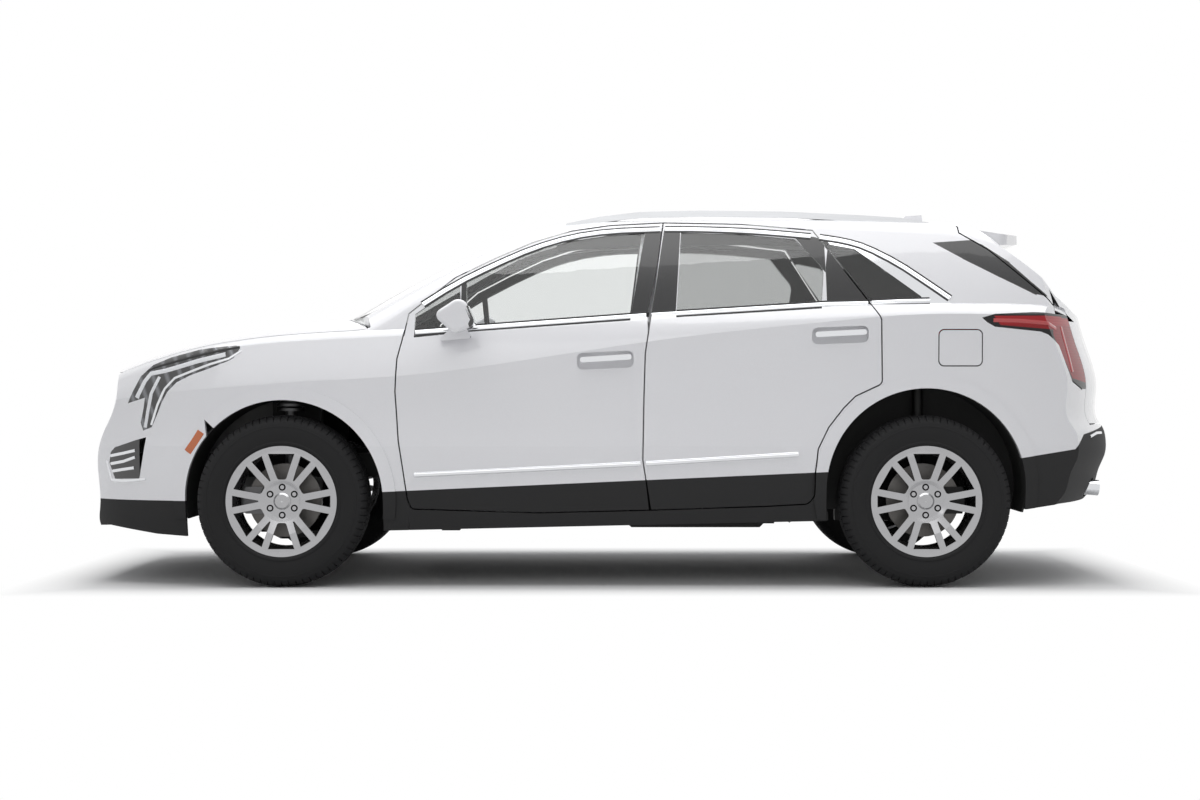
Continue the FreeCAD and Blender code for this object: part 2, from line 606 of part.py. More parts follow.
# Front lamps
LAMP_BACK = hull(60, 60, 60)
head = SOLID_BODY.common(lamp_zone).cut(LAMP_BACK).cut(hood_zone)
head = max(head.Solids, key=lambda q: q.Volume)
fog = INNER_NOSE_BACK.common(region(FOG_LAMP)).cut(LAMP_BACK)
fog = max(fog.Solids, key=lambda q: q.Volume)
keep("front_lamps", head, mirror(head), fog, mirror(fog))
tail = SOLID_BODY.common(prism(TAIL_LAMP, -FAR, -LAMP_Y)).cut(LAMP_BACK)
tail = max(tail.Solids, key=lambda q: q.Volume)
keep("tail_lamps", tail, mirror(tail))

# Tail lamps and rear bumper
lamp_room = prism(TAIL_LAMP, -FAR, -LAMP_Y)
tail_floor = prism([(1600, 0), (1600, 345), (1862, 345), (2011, 366), (2600, 366), (2600, 0)], -FAR, 0)
tail_half = skin(prism(REAR_BUMPER, -FAR, 0), ARCHES[4], ARCHES[5], lamp_room, tail_floor)
tail_corner = skin(prism([(2150, 700), (2150, 900), (2600, 900), (2600, 700)], -FAR, -LAMP_Y), lamp_room)
tail_half = biggest(tail_half.fuse(tail_corner))
tail_half = tail_half.cut(rod(V(2100, -520, 435.2), V(2400, -520, 411.4), 46))
rear_bumper = tail_half.fuse(mirror(tail_half)).removeSplitter()
keep("rear_bumper", rear_bumper)

# Liftgate
gate_upper = UPPER.common(box(1500, 2400, -FAR, 0, 1100, 1800))
gate_zone = prism(GATE[:5] + [(2460, 1225), (2460, 1700)], -FAR, 0).fuse(
    box(GATE_X, 2460, GAP - LAMP_Y, 0, 1150, 1240))
gate_upper = trimmed(gate_upper.common(gate_zone), SOLID_BODY).common(before_tail)
gate_lower = skin(box(GATE_X, 2500, GAP - LAMP_Y, 0, 722, 1300), CABIN_CUT)
gate_half = gate_upper.fuse(gate_lower)
BACKLIGHT = [(1836, -545, 40), (1836, 545, 40), (2010, 600, 40), (2160, 0, 1500), (2010, -600, 40)]
REAR_GLASS = [(1822, -559, 40), (1822, 559, 40), (2023, 615, 40), (2174, 0, 1500), (2023, -615, 40)]
gate_half = gate_half.cut(plan(BACKLIGHT, 1200, 1700))
SPOILER = [(1612, 1600), (1612, 1700), (1760, 1700), (1930, 1690), (1986, 1620), (1986, 1575), (1885, 1548),
           (1800, 1540)]
SPOILER_TOP = 1662.0
arch_face = Part.Face(Part.Wire([
    Part.Arc(V(1612, -610, SPOILER_TOP - 42), V(1612, 0, SPOILER_TOP),
             V(1612, 610, SPOILER_TOP - 42)).toShape(),
    Part.makeLine(V(1612, 610, SPOILER_TOP - 42), V(1612, 610, 1400)),
    Part.makeLine(V(1612, 610, 1400), V(1612, -610, 1400)),
    Part.makeLine(V(1612, -610, 1400), V(1612, -610, SPOILER_TOP - 42))]))
SPOILER_PLAN = [(1600, -600), (1825, -600, 50), (1925, -380, 300), (1975, 0), (1600, 0)]
spoiler = arch_face.extrude(V(400, 0, -62)).common(prism(SPOILER, -600, 0))
spoiler = spoiler.common(plan(SPOILER_PLAN, 1500, 1700))
spoiler = spoiler.cut(HOUSE_IN)
gate_half = gate_half.fuse(spoiler)
gate_half = max(gate_half.Solids, key=lambda q: q.Volume)
gate = gate_half.fuse(mirror(gate_half)).removeSplitter()
gate_glass = PANE_REAR.common(plan(REAR_GLASS, 1200, 1700))
keep("liftgate", gate.cut(gate_glass))
keep("liftgate_glass", gate_glass)

# Roof
roof_half = UPPER.common(box(-262, 1590 - GAP, -570, 0, 1500, 1900))
roof = roof_half.fuse(mirror(roof_half)).removeSplitter()
fin = prism([(1380, 1660), (1450, 1722), (1530, 1728), (1545, 1655)], -14, 14)
keep("roof_panel", roof.fuse(fin.cut(HOUSE_IN)))
screen_half = PANE.common(plan([(-1240, 0), (-1200, -350), (-1140, -600), (-1058, -733), (-264, -591),
                                (-264, 0)], 1100, 1900)).cut(HULL)
screen_half = max(screen_half.Solids, key=lambda q: q.Volume)
screen = screen_half.fuse(mirror(screen_half)).removeSplitter()
keep("fixed_glass", screen, quarter_glass, mirror(quarter_glass))
RAIL = [(-205, 1610), (-190, 1640), (-37, 1671), (147, 1693), (423, 1699), (791, 1695), (1159, 1678), (1343, 1666),
        (1500, 1640), (1560, 1615), (1460, 1615), (1330, 1640), (1140, 1650), (791, 1668), (423, 1672),
        (147, 1666), (-20, 1645), (-110, 1610)]
rail = prism(RAIL, -594, -566).cut(HOUSE)
rail = max(rail.Solids, key=lambda q: q.Volume)
keep("roof_rails", rail, mirror(rail))
leaf = SOLID_BODY.cut(SOLID_BODY.translated(V(0, 9, 0))).common(
    prism([(1465, 984, 22), (1465, 1140, 22), (1653, 1140, 22), (1653, 984, 22)], -FAR, -800))
keep("fuel_door", max(leaf.Solids, key=lambda q: q.Volume))


# Wheels and tyres


def spun(points):
    """A ring about the Y axis from (radius, y) corners."""
    face = Part.Face(ring(points, lambda p: V(p.x, p.y, 0)))
    return face.revolve(V(0, 0, 0), V(0, 1, 0), 360)


HUB_FACE = -46.0
BORE_R = 26.0
PCD_R = 62.0


def tyre():
    h = TYRE_W / 2
    side = [(RIM_R - 14.7, 95.7), (RIM_R + 0.3, 97.7), (RIM_R + 0.3, 107), (252, 111), (285, 118), (318, h),
            (350, 115), (371, 98), (379, 70), (TYRE_R, 25)]
    return spun(side + [(r, -y) for r, y in reversed(side)])


def wheel():
    """Cast wheel for the left side: barrel, six split spokes, and the brake disc on its hub."""
    barrel = spun([(RIM_R, -107), (RIM_R, -98), (231, -96), (213, -50), (213, 50), (231, 96),
                   (RIM_R, 98), (RIM_R, 107), (236, 107), (205, 50), (205, -50), (224, -104)])
    dish = spun([(BORE_R, HUB_FACE), (82, HUB_FACE), (92, -66), (150, -82), (212, -84), (222, -80), (226, -104),
                 (210, -106), (150, -101), (92, -88), (76, -78), (BORE_R, -78)])
    cuts = []
    for k in range(6):
        turn = 60.0 * k
        for centre, half_out, half_in, r_in in ((30.0, 15.5, 11.0, 98.0), (0.0, 6.8, 1.6, 104.0)):
            corners = []
            for r, half in ((r_in, half_in), (219.0, half_out)):
                corners.append([(r * math.cos(math.radians(centre + turn + s * half)),
                                 r * math.sin(math.radians(centre + turn + s * half))) for s in (-1, 1)])
            (a, b), (c, d) = corners
            cuts.append(prism([(*a, 12), c, d, (*b, 12)] if centre else [a, c, d, b], -140, -40))
    for k in range(6):
        a = math.radians(30 + 60 * k)
        cuts.append(Part.makeCylinder(13, 30, V(PCD_R * math.cos(a), -90, PCD_R * math.sin(a)), V(0, 1, 0)))
    dish = dish.cut(cuts)
    nuts = []
    for k in range(6):
        a = math.radians(30 + 60 * k)
        nuts.append(Part.makeCylinder(9, 22, V(PCD_R * math.cos(a), -80, PCD_R * math.sin(a)), V(0, 1, 0)))
    cap = spun([(0, -92), (30, -91), (38, -84), (38, -70), (0, -70)])
    rotor = spun([(BORE_R, HUB_FACE), (78, HUB_FACE), (78, 8), (164, 8), (164, 34), (70, 34), (70, -30),
                  (BORE_R, -30)])
    return joined([barrel, dish, cap, rotor] + nuts)


WHEEL = wheel()
TYRE = tyre()
for place, x in (("front", AXLE_F), ("rear", AXLE_R)):
    at = V(x, -TRACK_HALF, HUB_Z)
    keep("wheel_%s_left" % place, WHEEL.translated(at))
    keep("wheel_%s_right" % place, mirror(WHEEL.translated(at)))
    keep("tyre_%s_left" % place, TYRE.translated(at))
    keep("tyre_%s_right" % place, mirror(TYRE.translated(at)))

KINGPIN_Y = 735.0
HOUSING_Y = 620.0
STRUT_Y = 660.0
STRUT_SWING = 46.0
ARM_Z = 205.0
BEAM_TOP = 328.0
ARM_OUT = 604.0


def hub_carrier(x, front_axle):
    """Carrier with its spindle, caliper and lower boss, left side."""
    y = -TRACK_HALF
    parts = [disc(x, y - 34, y + 62, HUB_Z, 24), disc(x, y + 42, y + 62, HUB_Z, 62)]
    lean = -1 if front_axle else 1
    parts.append(box(x - 26, x + 26, y + 46, y + 108, ARM_Z + 25, HUB_Z - 30))
    parts.append(box(x - 30, x + 30, y + 46, y + 72, HUB_Z, HUB_Z + 120))
    parts.append(box(x - 24, x + 24, y + 46, -STRUT_Y + 20, HUB_Z + 90, HUB_Z + 130))
    arm = box(x + lean * 130 - 40, x + lean * 130 + 40, y + 44, y + 60, HUB_Z - 40, HUB_Z + 60)
    parts.append(arm)
    parts.append(box(x + min(0, lean * 130), x + max(0, lean * 130), y + 46, y + 58, HUB_Z - 20, HUB_Z + 30))
    caliper = disc(x, y - 4, y + 54, HUB_Z, 186).cut(disc(x, y - 5, y + 55, HUB_Z, 112))
    caliper = caliper.cut(disc(x, y + 2, y + 40, HUB_Z, 170))
    near = x + lean * 150
    caliper = caliper.common(box(near - 60, near + 60, y - 10, y + 60, HUB_Z - 60, HUB_Z + 60))
    parts.append(caliper)
    parts.append(rod(V(x, -STRUT_Y, HUB_Z + 80), V(x, -STRUT_Y, 785 if front_axle else 886), 24))
    if front_axle:
        parts.append(Part.makeCylinder(62, 12, V(x, -STRUT_Y, 780)))
    return joined(parts)


def coil(x, y, z0, z1, radius, wire_r, turns):
    """A coil spring at ride height, its turns as ridges round a bump sleeve."""
    pitch = (z1 - z0) / turns
    line = [(0, z0)]
    for k in range(turns):
        z = z0 + pitch * k
        line += [(radius - wire_r, z), (radius + wire_r, z + pitch * 0.3), (radius + wire_r, z + pitch * 0.6),
                 (radius - wire_r, z + pitch * 0.9)]
    line += [(radius - wire_r, z1), (0, z1)]
    face = Part.Face(ring(line, lambda p: V(p.x, 0, p.y)))
    return face.revolve(V(0, 0, 0), V(0, 0, 1), 360).translated(V(x, y, 0))


# Chassis
knuckle = joined([hub_carrier(AXLE_F, True), coil(AXLE_F, -STRUT_Y, 790, 945, 56, 8, 4)])
keep("knuckle_left", knuckle)
keep("knuckle_right", mirror(knuckle))

rail_l = box(-2240, -1000, -455, -385, 470, 580)
tower = joined([box(AXLE_F - 110, AXLE_F + 110, -740, -480, 955, 975),
                box(AXLE_F - 110, AXLE_F + 110, -495, -480, 560, 975),
                box(AXLE_F - 110, AXLE_F + 110, -500, -440, 560, 600)])
arm = plan([(AXLE_F - 150, -330), (AXLE_F - 150, -380), (AXLE_F - 34, -KINGPIN_Y - 10, 20),
            (AXLE_F - 20, -KINGPIN_Y - 30, 15),
            (AXLE_F + 20, -KINGPIN_Y - 30, 15), (AXLE_F + 34, -KINGPIN_Y - 10, 20), (AXLE_F + 190, -380),
            (AXLE_F + 190, -330)], ARM_Z, ARM_Z + 24)
sub_f = joined([box(AXLE_F - 190, AXLE_F + 230, -345, 0, ARM_Z, ARM_Z + 60),
                box(AXLE_F - 60, AXLE_F + 60, -455, -330, ARM_Z + 10, 480)])
core = joined([box(-2270, -2225, -480, 0, 330, 790), box(-2250, -2225, -500, 0, 470, 580)])
half = joined([rail_l, tower, arm, sub_f, core])
structure = joined([half, mirror(half)])
keep("front_structure", structure)
keep("engine", box(-1960, -1440, -325, 325, 300, 960))

FLOOR_LINE = [(-985, 1120), (-985, 420), (-860, 284), (820, 284), (960, 420), (1120, 600), (2190, 620)]


def sheet(line, thick, y0, y1):
    """A bent sheet in side view, one flat plate for each stretch of the line."""
    plates = []
    for (x0, z0), (x1, z1) in zip(line, line[1:]):
        along = V(x1 - x0, z1 - z0, 0).normalize()
        up = V(-along.y, along.x, 0) * thick
        a = V(x0, z0, 0) - along * thick * 0.4
        b = V(x1, z1, 0) + along * thick * 0.4
        corners = [a, b, b + up, a + up]
        plates.append(prism([(corner.x, corner.y) for corner in corners], y0, y1))
    return joined(plates)


pan = sheet(FLOOR_LINE, 18, -800, 0)
pan = pan.cut([disc(AXLE_R, -FAR, -HOUSING_Y, ARCH_R[1], ARCH_RADIUS + 10),
               disc(AXLE_F, -FAR, -490, 388, 470)])
pan = pan.cut(box(AXLE_R - 453, AXLE_R + 453, -FAR, -HOUSING_Y, 0, 445))
pan = pan.cut(box(2080, 2300, -FAR, -600, 0, 800))
cowl = sheet([(-1215, 1150), (-985, 1120)], 18, -840, 0).common(INNER)
house_rear = disc(ARCH_R[0], -905, 5 - HOUSING_Y, ARCH_R[1], ARCH_RADIUS + 12)
house_rear = house_rear.cut(disc(ARCH_R[0], -906, -HOUSING_Y - 7, ARCH_R[1], ARCH_RADIUS + 4))
house_rear = house_rear.cut(box(AXLE_R - 600, AXLE_R + 600, -FAR, 0, 0, 330)).common(INNER)
house_rear = house_rear.cut(box(0, 1330, -FAR, -DOOR_INNER_Y, 0, 1400))
pan = joined([pan, house_rear, cowl])
FLOOR = pan.fuse(mirror(pan)).removeSplitter()
keep("floor_pan", FLOOR)
liner = disc(ARCH_F[0], -918, -560, ARCH_F[1], ARCH_RADIUS + 8)
liner = liner.cut([disc(ARCH_F[0], -919, -559, ARCH_F[1], ARCH_RADIUS + 1),
                   box(AXLE_F - STRUT_SWING, AXLE_F + STRUT_SWING, -STRUT_Y - 85, -STRUT_Y + 85, 600, 900),
                   rod(V(AXLE_F - STRUT_SWING, -STRUT_Y, 600), V(AXLE_F - STRUT_SWING, -STRUT_Y, 900), 85),
                   rod(V(AXLE_F + STRUT_SWING, -STRUT_Y, 600), V(AXLE_F + STRUT_SWING, -STRUT_Y, 900), 85)])
liner = liner.cut(box(AXLE_F - 600, AXLE_F + 600, -FAR, 0, 0, 300)).common(INNER)
liner = max(liner.Solids, key=lambda q: q.Volume)
keep("wheel_liners", liner, mirror(liner))

rear_carrier = hub_carrier(AXLE_R, False)
beam = box(AXLE_R - 60, AXLE_R + 60, -690, 0, BEAM_TOP - 60, BEAM_TOP)
trailing_arm = prism([(1040, BEAM_TOP - 50), (AXLE_R, BEAM_TOP - 50), (AXLE_R, BEAM_TOP), (1100, BEAM_TOP),
                      (1100, 577), (1040, 509.5)], -ARM_OUT, 50 - ARM_OUT)
spring_pan = box(AXLE_R - 220, AXLE_R, -ARM_OUT, -500, BEAM_TOP - 40, BEAM_TOP)
carrier_foot = box(AXLE_R - 24, AXLE_R + 24, -735, -680, ARM_Z + 25, BEAM_TOP)
rear_half = joined([rear_carrier, beam, trailing_arm, spring_pan, carrier_foot,
                    coil(AXLE_R - 160, -540, BEAM_TOP, 600, 52, 8, 5)])
rear_axle = joined([rear_half, mirror(rear_half)])
keep("rear_suspension", rear_axle)
keep("fuel_tank", prism([(63, 284), (63, 279), (108, 242), (699, 242), (736, 279), (736, 284)], -560, 560))
muffler = box(1780, 2050, -520, 520, 400, 560)
muffler = muffler.makeFillet(30, muffler.Edges)
TIP_FROM = V(2040, -520, 440)
TIP_TO = V(2268, -520, 422)
tip_run = TIP_TO - TIP_FROM
tip = rod(TIP_FROM, TIP_TO, 36).cut(rod(TIP_FROM + tip_run * 0.5, TIP_TO + tip_run * 0.1, 32))
keep("exhaust", joined([muffler, tip, mirror(tip)]))

# Cabin
DASH = [(-966, 900), (-960, 1040, 30), (-800, 1070, 60), (-640, 1010, 50), (-600, 850, 40), (-700, 640, 60),
        (-966, 600)]
keep("dashboard", prism(DASH, -780, 780))
WHEEL_AT = V(-470, -380, 925)
rim = Part.makeTorus(182, 15, V(0, 0, 0), V(0, 0, 1))
boss = Part.makeCylinder(62, 34, V(0, 0, -20))
spokes = [box(-182, 182, -18, 18, -8, 8), box(-18, 18, -182, 0, -8, 8)]
column = Part.makeCylinder(24, 110, V(0, 0, -125))
steer = joined([rim, boss, column] + spokes)
steer.rotate(V(0, 0, 0), V(0, 1, 0), 90)
steer.rotate(V(0, 0, 0), V(0, 1, 0), -25)
keep("steering_wheel", steer.translated(WHEEL_AT))


def seat(x, y, width):
    cushion = prism([(x, 420, 40), (x - 20, 560, 50), (x + 480, 530, 30), (x + 500, 400, 40)],
                    y - width / 2, y + width / 2)
    back = prism([(x + 440, 480, 40), (x + 545, 1040, 40), (x + 640, 1040, 40), (x + 590, 470, 40)],
                 y - width / 2 + 15,
                 y + width / 2 - 15)
    base = box(x + 60, x + 440, y - width / 2 + 60, y + width / 2 - 60, 302.3, 430)
    return joined([cushion, back, base])


keep("front_seats", seat(-330, -380, 520), seat(-330, 380, 520))
bench = prism([(480, 420, 40), (460, 590, 50), (930, 560, 30), (910, 430, 30)], -605, 605)
bench_back = prism([(900, 480, 20), (1040, 1120, 38), (1130, 1120, 38), (1075, 620, 40), (985, 520, 20)],
                   -605, 605)
bench_foot = box(560, 780, -500, 500, 302.3, 430)
keep("rear_seat", joined([bench, bench_back, bench_foot]))

# Mirrors
shell = prism([(-765, 1205, 30), (-631, 1292, 45), (-572, 1158, 30), (-673, 1121, 25)], -1092, -940)
side_edges = [e for e in shell.Edges
              if all(abs(v.Point.y - e.Vertexes[0].Point.y) < 0.1 for v in e.Vertexes)]
shell = shell.makeFillet(16, side_edges)
foot = prism([(-760, 1090, 8), (-600, 1104, 8), (-625, 1150, 8), (-700, 1140, 8)], -960, -880)
wing_mirror = shell.fuse(foot).cut(FRONT_LEAF).cut(front_glass)
wing_mirror = max(wing_mirror.Solids, key=lambda q: q.Volume)
keep("mirror_left", wing_mirror)
keep("mirror_right", mirror(wing_mirror))
for name, solids in nodes.items():
    shape = solids[0] if len(solids) == 1 else Part.makeCompound(solids)
    shape.translate(V(-CENTRE_X, 0, 0))
    shape.exportStep("parts/%s.step" % name)
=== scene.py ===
import functools
import json
import math

import bmesh
import bpy
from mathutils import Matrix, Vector
from mathutils.bvhtree import BVHTree


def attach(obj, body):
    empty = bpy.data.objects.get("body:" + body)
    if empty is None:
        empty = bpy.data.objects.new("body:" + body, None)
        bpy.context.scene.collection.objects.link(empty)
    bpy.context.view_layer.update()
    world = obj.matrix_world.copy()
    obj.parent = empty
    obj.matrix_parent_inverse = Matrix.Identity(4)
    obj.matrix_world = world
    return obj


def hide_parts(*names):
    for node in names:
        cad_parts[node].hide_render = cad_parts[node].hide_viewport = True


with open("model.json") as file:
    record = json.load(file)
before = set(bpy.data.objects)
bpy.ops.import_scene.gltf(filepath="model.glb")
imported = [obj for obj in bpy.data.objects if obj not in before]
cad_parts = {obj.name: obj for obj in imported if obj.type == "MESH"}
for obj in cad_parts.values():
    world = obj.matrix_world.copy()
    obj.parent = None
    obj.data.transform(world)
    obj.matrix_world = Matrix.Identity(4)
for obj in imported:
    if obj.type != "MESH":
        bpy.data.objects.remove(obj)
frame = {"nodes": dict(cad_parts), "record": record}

bl_info = {
    "name": "Five-Door Suv Finish",
    "version": (1, 0, 0),
    "blender": (4, 5, 0),
    "location": "View3D > Sidebar > Suv",
    "description": "Paint, glass, trim, tyres, lamps and cabin pieces over the frame of a five-door suv",
    "category": "Object",
}

NODES = frame["nodes"]
SIDES = (("left", -1), ("right", 1))
AXLES = {"front": -1.4385, "rear": 1.4185}
HUB_Z = 0.3815
TRACK_HALF = 0.82


class SuvColours(bpy.types.PropertyGroup):
    """Colours of the suv that a user would change."""
    paint: bpy.props.FloatVectorProperty(
        name="Paint", description="Pearl white of the painted panels", subtype="COLOR", size=3,
        min=0.0, max=1.0, default=(0.80, 0.80, 0.82))
    cladding: bpy.props.FloatVectorProperty(
        name="Cladding", description="Moulded plastic along the sills and bumpers", subtype="COLOR", size=3,
        min=0.0, max=1.0, default=(0.0045, 0.0045, 0.005))
    chrome: bpy.props.FloatVectorProperty(
        name="Bright trim", description="Window surrounds, mouldings and handles", subtype="COLOR", size=3,
        min=0.0, max=1.0, default=(0.72, 0.73, 0.75))
    alloy: bpy.props.FloatVectorProperty(
        name="Alloy", description="Cast wheels", subtype="COLOR", size=3,
        min=0.0, max=1.0, default=(0.42, 0.42, 0.43))
    rubber: bpy.props.FloatVectorProperty(
        name="Rubber", description="Tyres and seals", subtype="COLOR", size=3,
        min=0.0, max=1.0, default=(0.0085, 0.0085, 0.009))
    cloth: bpy.props.FloatVectorProperty(
        name="Seat leather", description="Seat covers", subtype="COLOR", size=3,
        min=0.0, max=1.0, default=(0.045, 0.044, 0.044))
    front_tint: bpy.props.FloatProperty(
        name="Front glass tint", description="Share of light that the front glass lets through",
        subtype="FACTOR", min=0.0, max=1.0, default=0.82)
    rear_tint: bpy.props.FloatProperty(
        name="Rear glass tint", description="Share of light that the privacy glass lets through",
        subtype="FACTOR", min=0.0, max=1.0, default=0.42)


class SuvSizes(bpy.types.PropertyGroup):
    """Sizes of the trim that a user would change."""
    surround: bpy.props.FloatProperty(
        name="Window surround", description="Width of the bright strip round the side windows",
        unit="LENGTH", default=0.019)
    moulding: bpy.props.FloatProperty(
        name="Side moulding", description="Height of the bright moulding along the doors",
        unit="LENGTH", default=0.021)
    seal: bpy.props.FloatProperty(
        name="Seal", description="Width of the black seals round the glass", unit="LENGTH", default=0.009)
    tread_blocks: bpy.props.IntProperty(
        name="Tread blocks", description="Shoulder blocks round one tyre", min=20, max=120, default=72)
    tread_depth: bpy.props.FloatProperty(
        name="Tread depth", description="Depth of the grooves", unit="LENGTH", default=0.008)


class Value:
    """A shader number that plain arithmetic can be written with."""

    def __init__(self, shader, socket):
        self.shader = shader
        self.socket = socket

    def maths(self, operation, *others):
        return self.shader.node("ShaderNodeMath", {"operation": operation}, dict(enumerate((self,) + others)))

    def __add__(self, other):
        return self.maths("ADD", other)

    def __sub__(self, other):
        return self.maths("SUBTRACT", other)

    def __rsub__(self, other):
        return self.shader.node("ShaderNodeMath", {"operation": "SUBTRACT"}, {0: other, 1: self})

    def __mul__(self, other):
        return self.maths("MULTIPLY", other)

    def __pow__(self, other):
        return self.maths("POWER", other)

    def __abs__(self):
        return self.maths("ABSOLUTE")

    __radd__ = __add__
    __rmul__ = __mul__

    def wave(self):
        return self.maths("SINE")

    def larger(self, other):
        return self.maths("MAXIMUM", other)

    def rise(self, low, high):
        """0 below low, 1 above high, straight between them."""
        return self.shader.node("ShaderNodeMapRange", {"clamp": True},
                                {0: self, 1: low, 2: high, 3: 0.0, 4: 1.0})


class Shader:
    """A material round one principled surface, with places in metres."""

    def __init__(self, name, **sockets):
        self.material = bpy.data.materials.new(name)
        self.material.use_nodes = True
        self.tree = self.material.node_tree
        self.surface = self.tree.nodes["Principled BSDF"]
        self.place = self.node("ShaderNodeTexCoord", output=3)
        axes = self.node("ShaderNodeSeparateXYZ", inputs={0: self.place})
        self.x, self.y, self.z = (Value(self, axes.socket.node.outputs[i]) for i in range(3))
        self.set(**sockets)

    def node(self, kind, settings=None, inputs=None, output=0):
        made = self.tree.nodes.new(kind)
        for key, value in (settings or {}).items():
            setattr(made, key, value)
        for key, value in (inputs or {}).items():
            self.join(made.inputs[key], value)
        return Value(self, made.outputs[output])

    def join(self, socket, value):
        if isinstance(value, Value):
            self.tree.links.new(value.socket, socket)
        elif socket.type == "RGBA" and len(value) == 3:
            socket.default_value = (*value, 1.0)
        else:
            socket.default_value = value

    def set(self, **sockets):
        for name, value in sockets.items():
            self.join(self.surface.inputs[name.replace("_", " ")], value)

    def noise(self, scale, detail=2.0, roughness=0.5, stretch=None):
        """Even noise between 0 and 1, its grain 1 / scale metres, stretched along an axis if asked."""
        place = self.place
        if stretch:
            place = self.node("ShaderNodeVectorMath", {"operation": "MULTIPLY"}, {0: place, 1: stretch})
        return self.node("ShaderNodeTexNoise", {}, {"Vector": place, "Scale": scale, "Detail": detail,
                                                    "Roughness": roughness})

    def cells(self, scale, output="Distance"):
        made = self.node("ShaderNodeTexVoronoi", {}, {"Vector": self.place, "Scale": scale})
        return Value(self, made.socket.node.outputs[output])

    def mix(self, factor, first, second):
        return self.node("ShaderNodeMix", {"data_type": "RGBA"}, {0: factor, 6: first, 7: second}, output=2)

    def bump(self, height, distance, strength=1.0):
        self.set(Normal=self.node("ShaderNodeBump", {}, {"Height": height, "Distance": distance,
                                                         "Strength": strength}))

    def within(self, corners, soft=0.0008):
        """1 inside a convex side-view outline of (x, z) corners, 0 outside it."""
        turn = sum((b[0] - a[0]) * (b[1] + a[1]) for a, b in zip(corners, corners[1:] + corners[:1]))
        sign = 1 if turn > 0 else -1
        sides = []
        for (ax, az), (bx, bz) in zip(corners, corners[1:] + corners[:1]):
            length = math.hypot(bx - ax, bz - az)
            nx, nz = sign * (bz - az) / length, -sign * (bx - ax) / length
            sides.append((self.x * nx + self.z * nz - (ax * nx + az * nz)).rise(-soft, soft))
        return overlap(sides)

    def below(self, line, soft=0.0008):
        """1 below a side-view line of (x, z) points, which may bend down but not up."""
        parts = []
        for (ax, az), (bx, bz) in zip(line, line[1:]):
            slope = (bz - az) / (bx - ax)
            parts.append((self.x * slope + (az - slope * ax) - self.z).rise(-soft, soft))
        return overlap(parts)


def colours():
    return bpy.context.scene.suv_colours


def sizes():
    return bpy.context.scene.suv_sizes


def plain(values):
    return tuple(values)


def scaled(colour, share):
    """A colour times share, which is one number or one for each channel."""
    shares = share if isinstance(share, tuple) else (share,) * 3
    return tuple(v * s for v, s in zip(colour, shares))


def union(masks):
    """1 where any of the masks is 1."""
    return functools.reduce(Value.larger, masks)


def overlap(masks):
    """1 where all of the masks are 1."""
    return functools.reduce(Value.__mul__, masks)


# Side-view lines of the finish, in metres.
CLADDING_LINES = {
    "sill": [(-1.1, 0.419), (1.1, 0.518)],
    "front": [(-2.6, 0.381), (-1.2, 0.381)],
    "rear": [(1.4, 0.505), (1.858, 0.577), (2.086, 0.611)],
    "rear_corner": [(2.090, 0.611), (2.145, 0.676), (2.50, 0.735)],
}
GLOSS_BLACK = (0.006, 0.006, 0.007)


def paint(name, lines=(), black=(), bright=None, chromed=None):
    """Pearl paint with moulded cladding below its lines, gloss black outlines and bright areas."""
    tone = colours()
    shader = Shader(name, Roughness=0.28, Metallic=0.0, Coat_Weight=1.0, Coat_Roughness=0.03)
    flake = shader.noise(900.0, 1.0)
    cloud = shader.noise(1.3, 2.0)
    base = shader.mix(cloud * 0.5, plain(tone.paint), scaled(tone.paint, (0.965, 0.965, 0.985)))
    colour = shader.mix(flake.rise(0.45, 0.8) * 0.10, base, (0.95, 0.95, 0.97))
    rough = flake * 0.06 + 0.24
    coat = 1.0
    metal = None
    if lines:
        mask = union([shader.below(CLADDING_LINES[line]) for line in lines])
        grain = shader.noise(700.0, 2.0)
        dust = shader.noise(6.0, 3.0)
        plastic = shader.mix(dust * 0.6, plain(tone.cladding), scaled(tone.cladding, 1.9))
        colour = shader.mix(mask, colour, plastic)
        rough = rough + mask * (grain * 0.14 + 0.42)
        coat = 1 - mask
        shader.bump(grain * mask, 0.0003, 0.35)
    if chromed:
        metal = shader.within(chromed)
        colour = shader.mix(metal, colour, plain(tone.chrome))
        rough = rough * (1 - metal) + metal * 0.10
    if black:
        dark = union([shader.within(outline) for outline in black])
        colour = shader.mix(dark, colour, GLOSS_BLACK)
        coat = (1 - dark * 0.6) * coat
        if metal is not None:
            metal = metal * (1 - dark)
    if bright:
        x0, x1, z0, z1 = bright
        soft = 0.001
        strap = (shader.x.rise(x0, x0 + soft) * (1 - shader.x.rise(x1 - soft, x1))
                 * shader.z.rise(z0, z0 + soft) * (1 - shader.z.rise(z1 - soft, z1))
                 * abs(shader.y).rise(HANDLE_FACE - soft, HANDLE_FACE))
        colour = shader.mix(strap, colour, plain(tone.chrome))
        rough = rough * (1 - strap) + strap * 0.10
        metal = strap
    shader.set(Base_Color=colour, Roughness=rough)
    if not isinstance(coat, float):
        shader.set(Coat_Weight=coat)
    if metal is not None:
        shader.set(Metallic=metal)
    return shader.material


def chrome(name="bright_trim", rough=0.08):
    tone = colours()
    shader = Shader(name, Metallic=1.0)
    smear = shader.noise(14.0, 3.0)
    shader.set(Base_Color=shader.mix(smear * 0.4, plain(tone.chrome), scaled(tone.chrome, 0.86)),
               Roughness=smear * 0.05 + rough)
    return shader.material


def satin(name="satin_aluminium"):
    shader = Shader(name, Metallic=1.0)
    brush = shader.noise(60.0, 3.0, stretch=(0.05, 1.0, 1.0))
    shader.set(Base_Color=shader.mix(brush, (0.62, 0.63, 0.64), (0.72, 0.73, 0.75)),
               Roughness=brush * 0.12 + 0.24)
    return shader.material


